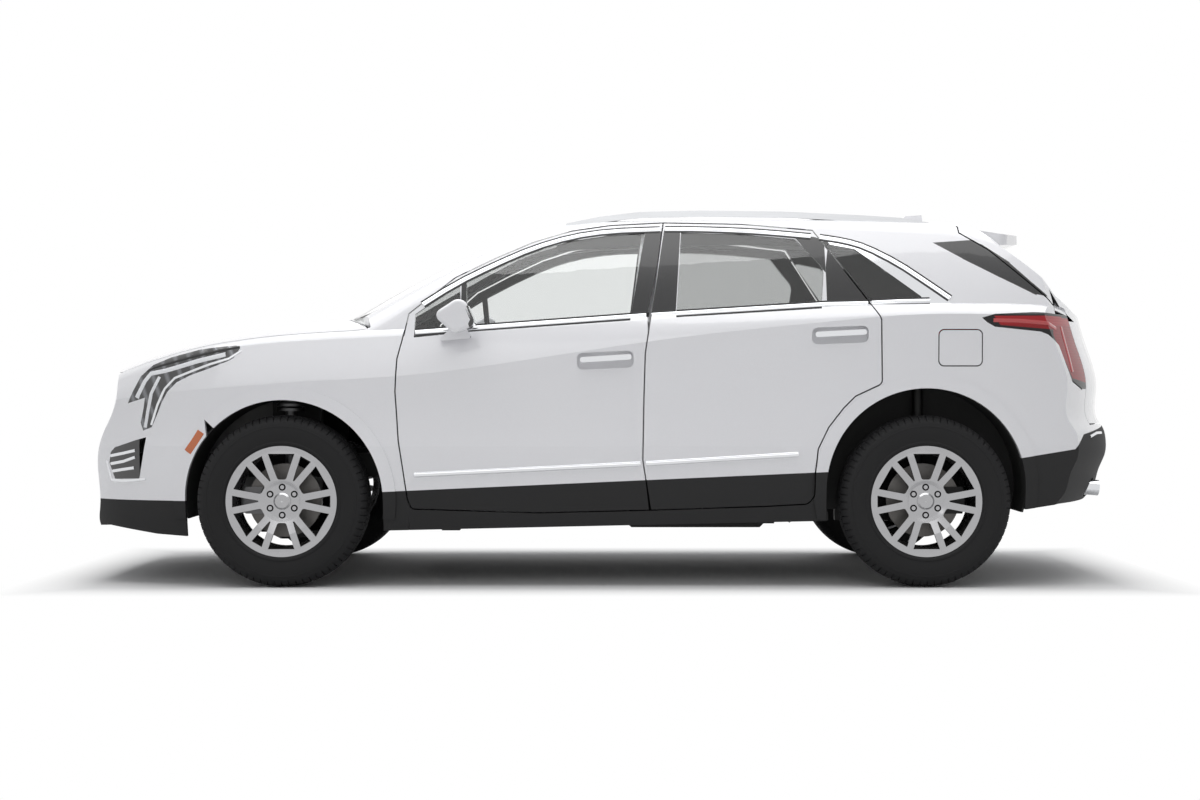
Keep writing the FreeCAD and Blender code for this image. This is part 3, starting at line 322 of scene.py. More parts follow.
def moulded(name, colour, rough=0.55, grain=650.0, depth=0.0003):
    """Moulded plastic with a fine leather-like grain and a little dust."""
    shader = Shader(name)
    skin = shader.cells(grain)
    dust = shader.noise(5.0, 3.0)
    shader.set(Base_Color=shader.mix(dust * 0.5, colour, tuple(min(1.0, v * 1.5 + 0.004) for v in colour)),
               Roughness=dust * 0.10 + rough)
    shader.bump(skin, depth, 0.4)
    return shader.material


def gloss_black(name="gloss_black"):
    shader = Shader(name, Coat_Weight=1.0, Coat_Roughness=0.02)
    haze = shader.noise(9.0, 3.0)
    shader.set(Base_Color=shader.mix(haze, (0.005, 0.005, 0.006), (0.009, 0.009, 0.010)),
               Roughness=haze * 0.05 + 0.08)
    return shader.material


def metal(name, colour, rough=0.42, stain=(0.5, 0.5, 0.5)):
    """Machined or cast metal with a cloudy surface."""
    shader = Shader(name, Metallic=1.0)
    cast = shader.noise(85.0, 4.0)
    cloud = shader.noise(7.0, 3.0)
    shader.set(Base_Color=shader.mix(cloud * 0.6, colour, scaled(colour, stain)),
               Roughness=cloud * 0.16 + rough)
    shader.bump(cast, 0.0004, 0.3)
    return shader.material


def rubber(name="tyre_rubber"):
    """Tyre rubber about its own centre, with fine rings moulded round the sidewall."""
    tone = colours()
    shader = Shader(name, Specular_IOR_Level=0.25)
    dust = shader.noise(11.0, 4.0)
    grain = shader.noise(420.0, 2.0)
    radius = (shader.x * shader.x + shader.z * shader.z) ** 0.5
    wall = radius.rise(0.272, 0.276) * (1 - radius.rise(0.326, 0.329))
    rings = (radius * 1900.0).wave() * wall
    tread = radius.rise(0.355, 0.372)
    colour = shader.mix(dust * 0.7, plain(tone.rubber), scaled(tone.rubber, 1.8))
    shader.set(Base_Color=shader.mix(tread * 0.5, colour, scaled(tone.rubber, 2.2)),
               Roughness=dust * 0.14 + 0.60 + tread * 0.12)
    shader.bump(grain * 0.5 + rings * 0.5, 0.0004, 0.4)
    return shader.material


def glass(name, share):
    """Toughened glass, its tint a share of the light."""
    shader = Shader(name, Transmission_Weight=1.0, IOR=1.5, Roughness=0.0)
    haze = shader.noise(3.0, 2.0)
    side = share ** 0.5
    tint = (side * 0.985, side, side * 0.995)
    shader.set(Base_Color=shader.mix(haze, tint, scaled(tint, 0.985)))
    return shader.material


NUT_CIRCLE = 0.062


def wheel_metal(axle_x, name):
    """Bright cast alloy, darkened on its deep barrel and near black in the nut wells as painted shade, with the
    brake disc behind the spokes.
    """
    tone = colours()
    shader = Shader(name, Metallic=1.0)
    along = shader.x - axle_x
    up = shader.z - HUB_Z
    radius = (along * along + up * up) ** 0.5
    depth = abs(shader.y)
    disc = (1 - depth.rise(0.818, 0.822)) * (1 - radius.rise(0.168, 0.170))
    # Everything behind the face of the spokes, darkened below: painted shade inside the wheel's barrel.
    barrel_painted_shade = (1 - depth.rise(0.880, 0.895))
    # Rings round each nut, painted near black below: painted shade in the nut wells.
    nut_well_painted_shade = []
    for turn in (math.radians(30 + 60 * k) for k in range(6)):
        nut_x, nut_z = NUT_CIRCLE * math.cos(turn), NUT_CIRCLE * math.sin(turn)
        from_nut = ((along - nut_x) ** 2.0 + (up - nut_z) ** 2.0) ** 0.5
        nut_well_painted_shade.append((1 - from_nut.rise(0.0150, 0.0160)) * from_nut.rise(0.0085, 0.0095))
    cloud = shader.noise(30.0, 3.0)
    rings = (radius * 5200.0).wave()
    face = shader.mix(cloud * 0.5, plain(tone.alloy), scaled(tone.alloy, 0.8))
    # Painted shade: the deep barrel mixed towards dark grey.
    colour = shader.mix(barrel_painted_shade * 0.60, face, (0.10, 0.10, 0.105))
    # Painted shade: the nut wells near black.
    colour = shader.mix(union(nut_well_painted_shade), colour, (0.008, 0.008, 0.008))
    colour = shader.mix(disc, colour, (0.13, 0.125, 0.12))
    shader.set(Base_Color=colour, Roughness=cloud * 0.08 + 0.15 + disc * 0.12 + barrel_painted_shade * 0.08)
    shader.bump(rings * disc, 0.00012, 0.4)
    return shader.material


TAIL_RED = [
    [(1.716, 1.203), (2.060, 1.206), (2.020, 1.142), (1.926, 1.148), (1.744, 1.163)],
    [(2.000, 1.200), (2.120, 1.200), (2.200, 0.905), (2.088, 0.928), (1.990, 1.120)],
]


def lens_red(name="tail_lamp_red"):
    """Red lenses in a dark rim: a bright arm over a deeper leg."""
    shader = Shader(name, Specular_IOR_Level=0.30)
    ribs = (shader.z * 520.0).wave()
    lens = union([shader.within(outline, 0.002) for outline in TAIL_RED])
    arm = shader.z.rise(1.160, 1.172)
    colour = shader.mix(arm, (0.30, 0.010, 0.014), (0.42, 0.012, 0.018))
    colour = shader.mix(lens, (0.012, 0.011, 0.012), colour)
    shader.set(Base_Color=colour, Roughness=ribs * 0.02 + 0.12)
    shader.bump(ribs, 0.0006, 0.3)
    return shader.material


def leather(name="seat_leather"):
    tone = colours()
    shader = Shader(name)
    grain = shader.cells(420.0)
    worn = shader.noise(6.0, 3.0)
    pores = shader.noise(1400.0, 2.0)
    shader.set(Base_Color=shader.mix(worn * 0.6, plain(tone.cloth), scaled(tone.cloth, 1.6)),
               Roughness=worn * 0.14 + 0.42)
    shader.bump(grain * 0.7 + pores * 0.3, 0.0005, 0.5)
    return shader.material


def carpet(name="carpet"):
    shader = Shader(name)
    tuft = shader.noise(520.0, 3.0, 0.7)
    patch = shader.noise(4.0, 2.0)
    shader.set(Base_Color=shader.mix(tuft, (0.012, 0.012, 0.013), (0.05, 0.05, 0.052)),
               Roughness=patch * 0.1 + 0.88)
    shader.bump(tuft, 0.002, 0.6)
    return shader.material


def headlining(name="headlining"):
    shader = Shader(name)
    weave = shader.noise(800.0, 2.0)
    patch = shader.noise(2.0, 2.0)
    shader.set(Base_Color=shader.mix(patch * 0.4, (0.075, 0.073, 0.071), (0.10, 0.098, 0.095)),
               Roughness=weave * 0.1 + 0.85)
    shader.bump(weave, 0.0006, 0.4)
    return shader.material


def dress(node, *materials, choose=None):
    """Give a frame node its materials; choose(face) says which one a face takes."""
    mesh = NODES[node].data
    mesh.materials.clear()
    for material in materials:
        mesh.materials.append(material)
    for face in mesh.polygons:
        face.material_index = choose(face) if choose else 0


def crease(mesh, angle):
    """Smooth shading with creases over an angle kept sharp."""
    for face in mesh.polygons:
        face.use_smooth = True
    mesh.set_sharp_from_angle(angle=math.radians(angle))


def turn_outward(mesh):
    """Faces with their normals outward."""
    tidy = bmesh.new()
    tidy.from_mesh(mesh)
    bmesh.ops.recalc_face_normals(tidy, faces=tidy.faces)
    tidy.to_mesh(mesh)
    tidy.free()


def placed(name, data):
    """A new object of a mesh, light or camera in the scene."""
    made = bpy.data.objects.new(name, data)
    bpy.context.scene.collection.objects.link(made)
    return made


def piece(name, verts, faces, material, body, slot, sharp=35.0):
    """A new piece from points in metres, riding on a body."""
    mesh = bpy.data.meshes.new(name)
    mesh.from_pydata([tuple(v) for v in verts], [], faces)
    mesh.validate()
    made = placed(name, mesh)
    mesh.materials.append(material)
    turn_outward(mesh)
    crease(mesh, sharp)
    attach(made, body)
    return made


class Skin:
    """The outer surface of some frame nodes, found by looking at it from outside."""

    def __init__(self, *names):
        points, faces = [], []
        for name in names:
            mesh = NODES[name].data
            start = len(points)
            points += [v.co.copy() for v in mesh.vertices]
            faces += [[start + i for i in face.vertices] for face in mesh.polygons]
        self.tree = BVHTree.FromPolygons(points, faces)

    def look(self, start, aim):
        place, normal, _, _ = self.tree.ray_cast(start, aim)
        if place is None:
            return None
        if normal.dot(aim) > 0:
            normal = -normal
        return place, normal

    def side(self, x, z, sign):
        return self.look(Vector((x, sign * 1.6, z)), Vector((0, -sign, 0)))

    def nose(self, y, z):
        return self.look(Vector((-3.0, y, z)), Vector((1, 0, 0)))


def spread(corners, step):
    """Points along a line of corners, about a step apart."""
    points = []
    for a, b in zip(corners, corners[1:]):
        count = max(1, round(math.dist(a, b) / step))
        for t in (i / count for i in range(count)):
            points.append((a[0] + (b[0] - a[0]) * t, a[1] + (b[1] - a[1]) * t))
    return points + [corners[-1]]


def rounded(corners, rounds=2):
    """The line with its corners cut soft, its ends kept."""
    for _ in range(rounds):
        soft = [corners[0]]
        for a, b in zip(corners, corners[1:]):
            soft.append((a[0] * 0.75 + b[0] * 0.25, a[1] * 0.75 + b[1] * 0.25))
            soft.append((a[0] * 0.25 + b[0] * 0.75, a[1] * 0.25 + b[1] * 0.75))
        soft.append(corners[-1])
        corners = soft
    return corners


# A strip's section: shares of its half width, and of its height.
CROWN = ((-1, 0.45), (-0.55, 0.9), (0, 1.0), (0.55, 0.9), (1, 0.45))
STRIP_SINK = 0.002


def strip(name, found, width, height, material, body, slot):
    """A crowned strip laid along points on a surface, its foot sunk into it."""
    rows = []
    count = len(found)
    section = [(-1, -STRIP_SINK)] + [(a, height * b) for a, b in CROWN] + [(1, -STRIP_SINK)]
    for i, (place, normal) in enumerate(found):
        before = found[max(0, i - 1)][0]
        after = found[min(count - 1, i + 1)][0]
        along = (after - before).normalized()
        across = normal.cross(along).normalized()
        up = along.cross(across).normalized()
        if up.dot(normal) < 0:
            up = -up
        rows.append([place + across * width / 2 * a + up * b for a, b in section])
    size = len(rows[0])
    verts = [v for row in rows for v in row]
    faces = []
    for i in range(count - 1):
        for j in range(size):
            k = (j + 1) % size
            faces.append((i * size + j, i * size + k, (i + 1) * size + k, (i + 1) * size + j))
    faces.append(tuple(range(size)))
    faces.append(tuple((count - 1) * size + j for j in range(size)))
    return piece(name, verts, faces, material, body, slot, sharp=40.0)


def trace(skin, corners, sign, step=0.04):
    """Where a side-view line lands on a skin, with its normals."""
    hits = [skin.side(x, z, sign) for x, z in spread(corners, step)]
    return [hit for hit in hits if hit]


def fix(material_name, build, *values, **named):
    """A finish made once and used again by name."""
    made = bpy.data.materials.get(material_name)
    return made if made else build(material_name, *values, **named)


def slot_of(node):
    """The record's material slot of a frame node."""
    return next(part["material_slot"] for part in frame["record"]["subparts"] if part["node"] == node)


# Side-view outlines of black and bright areas, in metres.
DOOR_BLACK = {
    "front": [[(0.105, 1.200), (0.193, 1.201), (0.262, 1.598), (0.177, 1.590)],
              [(-0.650, 1.158), (-0.588, 1.163), (-0.588, 1.382), (-0.650, 1.352)]],
    "rear": [[(0.200, 1.203), (0.309, 1.209), (0.337, 1.600), (0.262, 1.600)],
             [(0.958, 1.252), (1.21, 1.258), (0.985, 1.560), (0.984, 1.424)],
             [(0.984, 1.40), (0.984, 1.552), (0.940, 1.568), (0.850, 1.568)]],
}
HANDLES = {"front": (-0.129, 0.112, 0.985, 1.045), "rear": (0.910, 1.160, 1.095, 1.160)}
HANDLE_FACE = 0.9465
QUARTER_POST = [(1.16, 1.27), (1.20, 1.268), (0.998, 1.548), (0.965, 1.545)]
QUARTER_BRIGHT = [(1.178, 1.255), (1.536, 1.260), (1.500, 1.308), (1.434, 1.358), (1.308, 1.450),
                  (1.170, 1.527), (1.077, 1.556), (0.985, 1.572)]
D_PILLAR = [
    [(1.472, 1.540), (1.655, 1.553), (1.716, 1.517), (1.630, 1.449)],
    [(1.600, 1.465), (1.690, 1.535), (1.816, 1.449), (1.764, 1.379)],
    [(1.745, 1.389), (1.796, 1.464), (1.930, 1.338), (1.926, 1.299)],
    [(1.905, 1.308), (1.912, 1.356), (1.982, 1.293)],
]


class SUV_OT_body(bpy.types.Operator):
    """Paint the panels and colour their inner sides"""
    bl_idname = "suv.body"
    bl_label = "Paint the body"

    def execute(self, context):
        white = paint("pearl_paint")
        nose = paint("pearl_paint_front", lines=("front",))
        rear = paint("pearl_paint_rear", lines=("rear", "rear_corner"))
        side = paint("pearl_paint_side", lines=("sill", "rear"), black=[QUARTER_POST] + D_PILLAR,
                     chromed=QUARTER_BRIGHT)
        wing = paint("pearl_paint_fender", lines=("sill",))
        trim = moulded("door_trim", (0.035, 0.034, 0.034), 0.6)
        lining = headlining()
        under = moulded("underbody_plastic", (0.012, 0.012, 0.012), 0.7, 300.0)
        downward = lambda face: 1 if face.normal.z < -0.3 else 0
        for name, sign in SIDES:
            inward = lambda face: 1 if face.normal.y * -sign > 0.35 and abs(face.center.y) < 0.93 else 0
            for place in ("front", "rear"):
                door = paint("pearl_paint_%s_door" % place, lines=("sill",), black=DOOR_BLACK[place],
                             bright=HANDLES[place])
                dress("%s_door_%s" % (place, name), door, trim, choose=inward)
            dress("body_side_" + name, side, trim, choose=inward)
            dress("fender_" + name, wing, under, choose=lambda face: 1 if face.normal.y * -sign > 0.35 else 0)
        dress("roof_panel", white, lining, choose=downward)
        dress("hood", white, under, choose=downward)
        dress("front_bumper", nose)
        dress("rear_bumper", rear)
        dress("liftgate", paint("pearl_paint_gate", black=D_PILLAR), trim,
              choose=lambda face: 1 if face.normal.x < -0.3 else 0)
        dress("fuel_door", white)
        dress("roof_rails", satin())
        for node in NODES.values():
            crease(node.data, 32.0)
        return {"FINISHED"}


class SUV_OT_running_gear(bpy.types.Operator):
    """Finish the wheels, brakes, axles, engine, floor and exhaust"""
    bl_idname = "suv.running_gear"
    bl_label = "Finish the running gear"

    def execute(self, context):
        black_steel = metal("black_steel", (0.05, 0.05, 0.05), 0.5)
        cast = metal("cast_metal", (0.26, 0.26, 0.265), 0.45)
        plastic = fix("underbody_plastic", moulded, (0.012, 0.012, 0.012), 0.7)
        pile = carpet()
        for place, x in AXLES.items():
            alloy = wheel_metal(x, "alloy_" + place)
            for name, _ in SIDES:
                dress("wheel_%s_%s" % (place, name), alloy)
        for name, _ in SIDES:
            dress("knuckle_" + name, cast)
        dress("rear_suspension", black_steel)
        dress("front_structure", black_steel)
        dress("engine", metal("engine_alloy", (0.22, 0.22, 0.22), 0.5))
        dress("wheel_liners", plastic)
        dress("fuel_tank", plastic)
        dress("floor_pan", plastic, pile,
              choose=lambda face: 1 if face.normal.z > 0.3 and face.center.x > -1.0 else 0)
        dress("exhaust", metal("exhaust_steel", (0.30, 0.29, 0.28), 0.4, (0.7, 0.66, 0.62)),
              chrome("exhaust_tip", 0.12), choose=lambda face: 1 if face.center.x > 2.03 else 0)
        return {"FINISHED"}


# Half of a tyre's section, as (radius, distance from its middle) in metres.
TYRE_SIDE = [
    (0.2345, 0.0955), (0.2455, 0.0975), (0.2475, 0.1068), (0.2520, 0.1105), (0.2555, 0.1150), (0.2620, 0.1160),
    (0.2665, 0.1138), (0.2740, 0.1150), (0.2860, 0.1176), (0.3000, 0.1190), (0.3150, 0.1197), (0.3290, 0.1186),
    (0.3300, 0.1196), (0.3345, 0.1192), (0.3355, 0.1180), (0.3430, 0.1166), (0.3500, 0.1146)]
TREAD_LINE = [
    (0.3560, 0.1115), (0.3620, 0.1070), (0.3680, 0.1005), (0.3725, 0.0930), (0.3755, 0.0830), (0.3780, 0.0720),
    (0.3792, 0.0630), (0.3793, 0.0620), (0.3800, 0.0540), (0.3801, 0.0530), (0.3807, 0.0420), (0.3811, 0.0300),
    (0.3813, 0.0235), (0.3813, 0.0225), (0.3815, 0.0145), (0.3815, 0.0135), (0.3815, 0.0)]
TREAD_EDGE = 0.352
PITCH_STOPS = (0.0, 0.02, 0.12, 0.14, 0.50, 0.52, 0.58, 0.60)


def tread_depth(y, stop):
    """How far a tread point stands below the crown, as a share of the whole depth."""
    if 0.0140 <= abs(y) <= 0.0230 or 0.0535 <= abs(y) <= 0.0625:
        return 1.0
    shoulder = stop in (1, 2)
    middle = stop in (5, 6)
    if abs(y) > 0.0625 and shoulder:
        return 0.9 * min(1.0, max(0.0, (0.1155 - abs(y)) / 0.012))
    if 0.0230 < abs(y) < 0.0535 and middle:
        return 0.65
    return 0.0


def tyre_mesh(blocks, depth):
    """One tyre about its own centre: sidewalls with ridges, and a tread cut by grooves."""
    half = TYRE_SIDE + TREAD_LINE
    line = half + [(r, -y) for r, y in reversed(half[:-1])]
    verts, faces = [], []
    for block in range(blocks):
        for stop, share in enumerate(PITCH_STOPS):
            turn = 2 * math.pi * (block + share) / blocks
            for r, y in line:
                low = r - (depth * tread_depth(y, stop) if r > TREAD_EDGE else 0.0)
                verts.append((low * math.cos(turn), y, low * math.sin(turn)))
    size = len(line)
    turns = blocks * len(PITCH_STOPS)
    for i in range(turns):
        for j in range(size):
            k = (j + 1) % size
            n = (i + 1) % turns
            faces.append((i * size + j, i * size + k, n * size + k, n * size + j))
    mesh = bpy.data.meshes.new("tyre")
    mesh.from_pydata(verts, [], faces)
    turn_outward(mesh)
    crease(mesh, 34.0)
    return mesh


class SUV_OT_tyres(bpy.types.Operator):
    """Fit tyres with grooved tread over the plain ones"""
    bl_idname = "suv.tyres"
    bl_label = "Fit the tyres"

    def execute(self, context):
        mesh = tyre_mesh(sizes().tread_blocks, sizes().tread_depth)
        mesh.materials.append(rubber())
        for place, x in AXLES.items():
            for name, sign in SIDES:
                made = placed("tread_%s_%s" % (place, name), mesh)
                made.location = (x, sign * TRACK_HALF, HUB_Z)
                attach(made, "wheel_%s_%s" % (place, name))
                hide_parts("tyre_%s_%s" % (place, name))
        return {"FINISHED"}


class SUV_OT_glass(bpy.types.Operator):
    """Glaze the windows"""
    bl_idname = "suv.glass"
    bl_label = "Glaze the windows"

    def execute(self, context):
        clear = glass("clear_glass", colours().front_tint)
        privacy = glass("privacy_glass", colours().rear_tint)
        for name, _ in SIDES:
            dress("front_door_glass_" + name, clear)
            dress("rear_door_glass_" + name, privacy)
        dress("liftgate_glass", privacy)
        dress("fixed_glass", clear, privacy, choose=lambda face: 1 if face.center.x > 0.6 else 0)
        return {"FINISHED"}


# Side-view lines of the strips on the lamps, in metres.
HEAD_GUIDE = [(-1.690, 1.033), (-1.819, 1.003), (-1.912, 0.976), (-1.972, 0.960), (-2.040, 0.948),
              (-2.067, 0.914), (-2.102, 0.840)]
HEAD_EDGE = [(-1.618, 1.050), (-1.674, 1.014), (-1.760, 0.989), (-1.828, 0.964), (-1.921, 0.928),
             (-1.966, 0.881), (-2.003, 0.808), (-2.034, 0.719)]
HEAD_LEG = [(-1.996, 0.934), (-2.032, 0.858), (-2.050, 0.780), (-2.064, 0.707)]
HEAD_TOP = [(-1.627, 1.066), (-1.717, 1.050), (-1.833, 1.025), (-1.939, 0.998), (-2.024, 0.976),
            (-2.060, 0.959)]
FOG_BARS = [
    [(-2.238, 0.578), (-2.171, 0.591), (-2.112, 0.604)],
    [(-2.238, 0.542), (-2.172, 0.554), (-2.112, 0.574)],
    [(-2.229, 0.509), (-2.173, 0.518), (-2.118, 0.526)],
]
FOG_LED = [(-2.068, 0.655), (-2.078, 0.600), (-2.088, 0.540), (-2.092, 0.486)]
FOG_TRIM = [(-2.262, 0.556), (-2.237, 0.470), (-2.170, 0.466), (-2.100, 0.472), (-2.062, 0.476)]
AMBER = [(-1.797, 0.690), (-1.826, 0.645), (-1.858, 0.600)]
TAIL_ARM = [(1.712, 1.184), (1.830, 1.182), (1.960, 1.172), (2.010, 1.150)]
TAIL_LEG = [(2.046, 1.160), (2.062, 1.090), (2.078, 1.020), (2.092, 0.955)]
REAR_LINE = [(2.190, 0.664), (2.245, 0.678), (2.292, 0.677)]
PLATE_HALF, PLATE_Z, PLATE_HEIGHT, PLATE_DEPTH = 0.245, 0.640, 0.100, 0.012


def head_lamp():
    """Dark reflector bowls behind a clear ribbed cover."""
    lamp = Shader("head_lamp", Coat_Weight=1.0, Coat_Roughness=0.02)
    bowls = (lamp.x * 92.0 + lamp.z * 40.0).wave()
    level = lamp.noise(22.0, 3.0)
    depth = bowls.rise(0.2, 1.0)
    lamp.set(Base_Color=lamp.mix(depth * 0.8, (0.012, 0.012, 0.014), (0.20, 0.205, 0.22)),
             Metallic=depth * 0.7, Roughness=level * 0.08 + 0.14)
    lamp.bump(bowls, 0.004, 0.35)
    return lamp.material


def light_guide(name="light_guide", colour=(0.86, 0.87, 0.90)):
    """Milky plastic of a light guide, faintly ribbed."""
    guide = Shader(name, Coat_Weight=1.0, Coat_Roughness=0.03)
    ribs = (guide.x * 900.0 + guide.z * 700.0).wave()
    cloud = guide.noise(40.0, 2.0)
    guide.set(Base_Color=guide.mix(cloud * 0.5, colour, scaled(colour, 0.82)),
              Roughness=cloud * 0.06 + 0.16)
    guide.bump(ribs, 0.0005, 0.3)
    return guide.material


def lamp_seal():
    return fix("lamp_seal", moulded, (0.010, 0.010, 0.011), 0.45)


def mirror_glass(name="mirror_glass"):
    silver = Shader(name, Metallic=1.0)
    haze = silver.noise(12.0, 2.0)
    silver.set(Base_Color=silver.mix(haze, (0.60, 0.62, 0.64), (0.66, 0.68, 0.70)),
               Roughness=haze * 0.03 + 0.02)
    return silver.material


class SUV_OT_lamps(bpy.types.Operator):
    """Finish the lamps, the grille and the mirrors"""
    bl_idname = "suv.lamps"
    bl_label = "Finish lamps and grille"

    def execute(self, context):
        black = fix("gloss_black", gloss_black)
        dress("front_lamps", head_lamp(), black, choose=lambda face: 1 if face.center.z < 0.68 else 0)
        dress("tail_lamps", lens_red())
        dress("grille", black)
        white = fix("pearl_paint", paint)
        for name, _ in SIDES:
            dress("mirror_" + name, white, mirror_glass(), black, choose=self.mirror_part)
        guide = light_guide()
        bright = fix("bright_trim", chrome)
        amber = light_guide("amber_marker", (0.55, 0.11, 0.006))
        red = light_guide("red_guide", (0.52, 0.020, 0.024))
        seal = lamp_seal()
        for name, sign in SIDES:
            nose = Skin("front_lamps", "front_bumper", "fender_" + name)
            tail = Skin("tail_lamps")
            for label, skin, line, width, height, finish, node in (
                    ("head_guide", nose, HEAD_GUIDE, 0.021, 0.003, guide, "front_lamps"),
                    ("head_edge", nose, HEAD_EDGE, 0.011, 0.004, bright, "front_lamps"),
                    ("head_leg", nose, HEAD_LEG, 0.016, 0.003, guide, "front_lamps"),
                    ("head_top", nose, HEAD_TOP, 0.010, 0.002, seal, "front_lamps"),
                    ("fog_led", nose, FOG_LED, 0.024, 0.003, guide, "front_lamps"),
                    ("fog_trim", nose, FOG_TRIM, 0.012, 0.005, bright, "front_lamps"),
                    ("amber", nose, AMBER, 0.034, 0.003, amber, "front_lamps"),
                    ("tail_arm", tail, TAIL_ARM, 0.017, 0.003, red, "tail_lamps"),
                    ("tail_leg", tail, TAIL_LEG, 0.022, 0.003, red, "tail_lamps"),
                    ("rear_line", Skin("rear_bumper"), REAR_LINE, 0.012, 0.005, bright, "tail_lamps")):
                found = trace(skin, line, sign, 0.012)
                strip("%s_%s" % (label, name), found, width, height, finish, "body", slot_of(node))
            for k, line in enumerate(FOG_BARS):
                strip("fog_bar_%s_%d" % (name, k), trace(nose, line, sign, 0.012), 0.013, 0.006, bright,
                      "body", slot_of("grille"))
        self.plate_holder()
        return {"FINISHED"}

    def mirror_part(self, face):
        if face.normal.x > 0.85:
            return 1
        return 2 if face.center.x > -0.600 else 0

    def plate_holder(self):
        """A blank holder across the nose, on the bumper."""
        nose = Skin("front_bumper", "grille")
        steps = 14
        hits = [nose.nose(PLATE_HALF * (2 * k / steps - 1), PLATE_Z) for k in range(steps + 1)]
        strip("plate_holder", [hit for hit in hits if hit], PLATE_HEIGHT, PLATE_DEPTH, lamp_seal(), "body",
              slot_of("grille"))


class SUV_OT_cabin(bpy.types.Operator):
    """Finish the dashboard and the steering wheel"""
    bl_idname = "suv.cabin"
    bl_label = "Finish the cabin"

    def execute(self, context):
        dress("dashboard", moulded("dashboard_skin", (0.022, 0.022, 0.023), 0.55, 380.0))
        dress("steering_wheel", fix("seat_leather", leather))
        return {"FINISHED"}


FRONT_SEAT_X = -0.322
SEAT_Y = 0.38
FLOOR_TOP = 0.303
CUSHION = [(0.0, 0.425), (-0.018, 0.545), (0.10, 0.572), (0.47, 0.530), (0.485, 0.41)]
BACKREST = [(0.455, 0.490), (0.535, 0.905), (0.628, 0.905), (0.592, 0.475)]
HEADREST = [(0.545, 0.925), (0.556, 1.036), (0.630, 1.036), (0.634, 0.925)]
BENCH = [(0.490, 0.432), (0.476, 0.572), (0.600, 0.592), (0.925, 0.556), (0.910, 0.440)]
BENCH_BACK = [(0.925, 0.500), (1.030, 1.000), (1.115, 1.000), (1.080, 0.640), (1.000, 0.530)]
BENCH_HEAD = [(1.042, 1.018), (1.056, 1.115), (1.125, 1.115), (1.122, 1.018)]


def pad_mesh(name, outline, width, grid, swell, seams):
    """A stuffed pad: a rounded block, remeshed, blown up as cloth, with its seams drawn in."""
    tidy = bmesh.new()
    middle_x = sum(p[0] for p in outline) / len(outline)
    middle_z = sum(p[1] for p in outline) / len(outline)
    rings = []
    outer, inner = width / 2 - 0.006, width / 2 - 0.030
    for y, inset in ((-outer, 0.80), (-inner, 0.93), (inner, 0.93), (outer, 0.80)):
        rings.append([tidy.verts.new((middle_x + (x - middle_x) * inset, y, middle_z + (z - middle_z) * inset))
                      for x, z in outline])
    for a, b in zip(rings, rings[1:]):
        for i in range(len(outline)):
            k = (i + 1) % len(outline)
            tidy.faces.new((a[i], a[k], b[k], b[i]))
    tidy.faces.new(rings[0])
    tidy.faces.new(rings[-1])
    bmesh.ops.recalc_face_normals(tidy, faces=tidy.faces)
    edges = [e for e in tidy.edges if e.calc_face_angle(0.0) > 0.3]
    bmesh.ops.bevel(tidy, geom=edges, offset=0.022, segments=3, profile=0.6, affect="EDGES")
    mesh = bpy.data.meshes.new(name)
    tidy.to_mesh(mesh)
    tidy.free()
    made = placed(name, mesh)
    remesh = made.modifiers.new("remesh", "REMESH")
    remesh.mode = "VOXEL"
    remesh.voxel_size = grid
    bake(made)
    rest = [v.co.copy() for v in made.data.vertices]
    inflate(made)
    for vertex, start in zip(made.data.vertices, rest):
        move = vertex.co - start
        if move.length > swell:
            vertex.co = start + move * (swell / move.length)
    for axis, place, reach, depth in seams:
        for vertex in made.data.vertices:
            away = (vertex.co[axis] - place) / reach
            if abs(away) < 1:
                vertex.co -= vertex.normal * depth * (1 - away * away) ** 2
    for face in made.data.polygons:
        face.use_smooth = True
    return made


def bake(obj):
    """Write an object's modifiers into its mesh."""
    graph = bpy.context.evaluated_depsgraph_get()
    done = bpy.data.meshes.new_from_object(obj.evaluated_get(graph))
    obj.modifiers.clear()
    obj.data = done


def inflate(obj):
    cloth = obj.modifiers.new("cloth", "CLOTH")
    cloth.settings.use_pressure = True
    cloth.settings.uniform_pressure_force = 4.0
    cloth.settings.effector_weights.gravity = 0.0
    cloth.settings.quality = 4
    for number in range(1, 21):
        bpy.context.scene.frame_set(number)
    bake(obj)
    bpy.context.scene.frame_set(1)


def place_pad(source, name, x, y, node=None):
    """A pad's shape used once more at a seat."""
    made = placed(name, source)
    made.location = (x, y, 0.0)
    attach(made, "body")
    if node:
        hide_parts(node)
    else:
        slot_of("front_seats")
    return made


def sewn(half, reach, axis, places):
    """Two lengthwise channels at half each side of the middle, then crosswise ones at places on an axis."""
    lengthwise = [(1, side * half, reach, 0.010) for side in (-1, 1)]
    return lengthwise + [(axis, place, reach - 0.002, 0.007) for place in places]


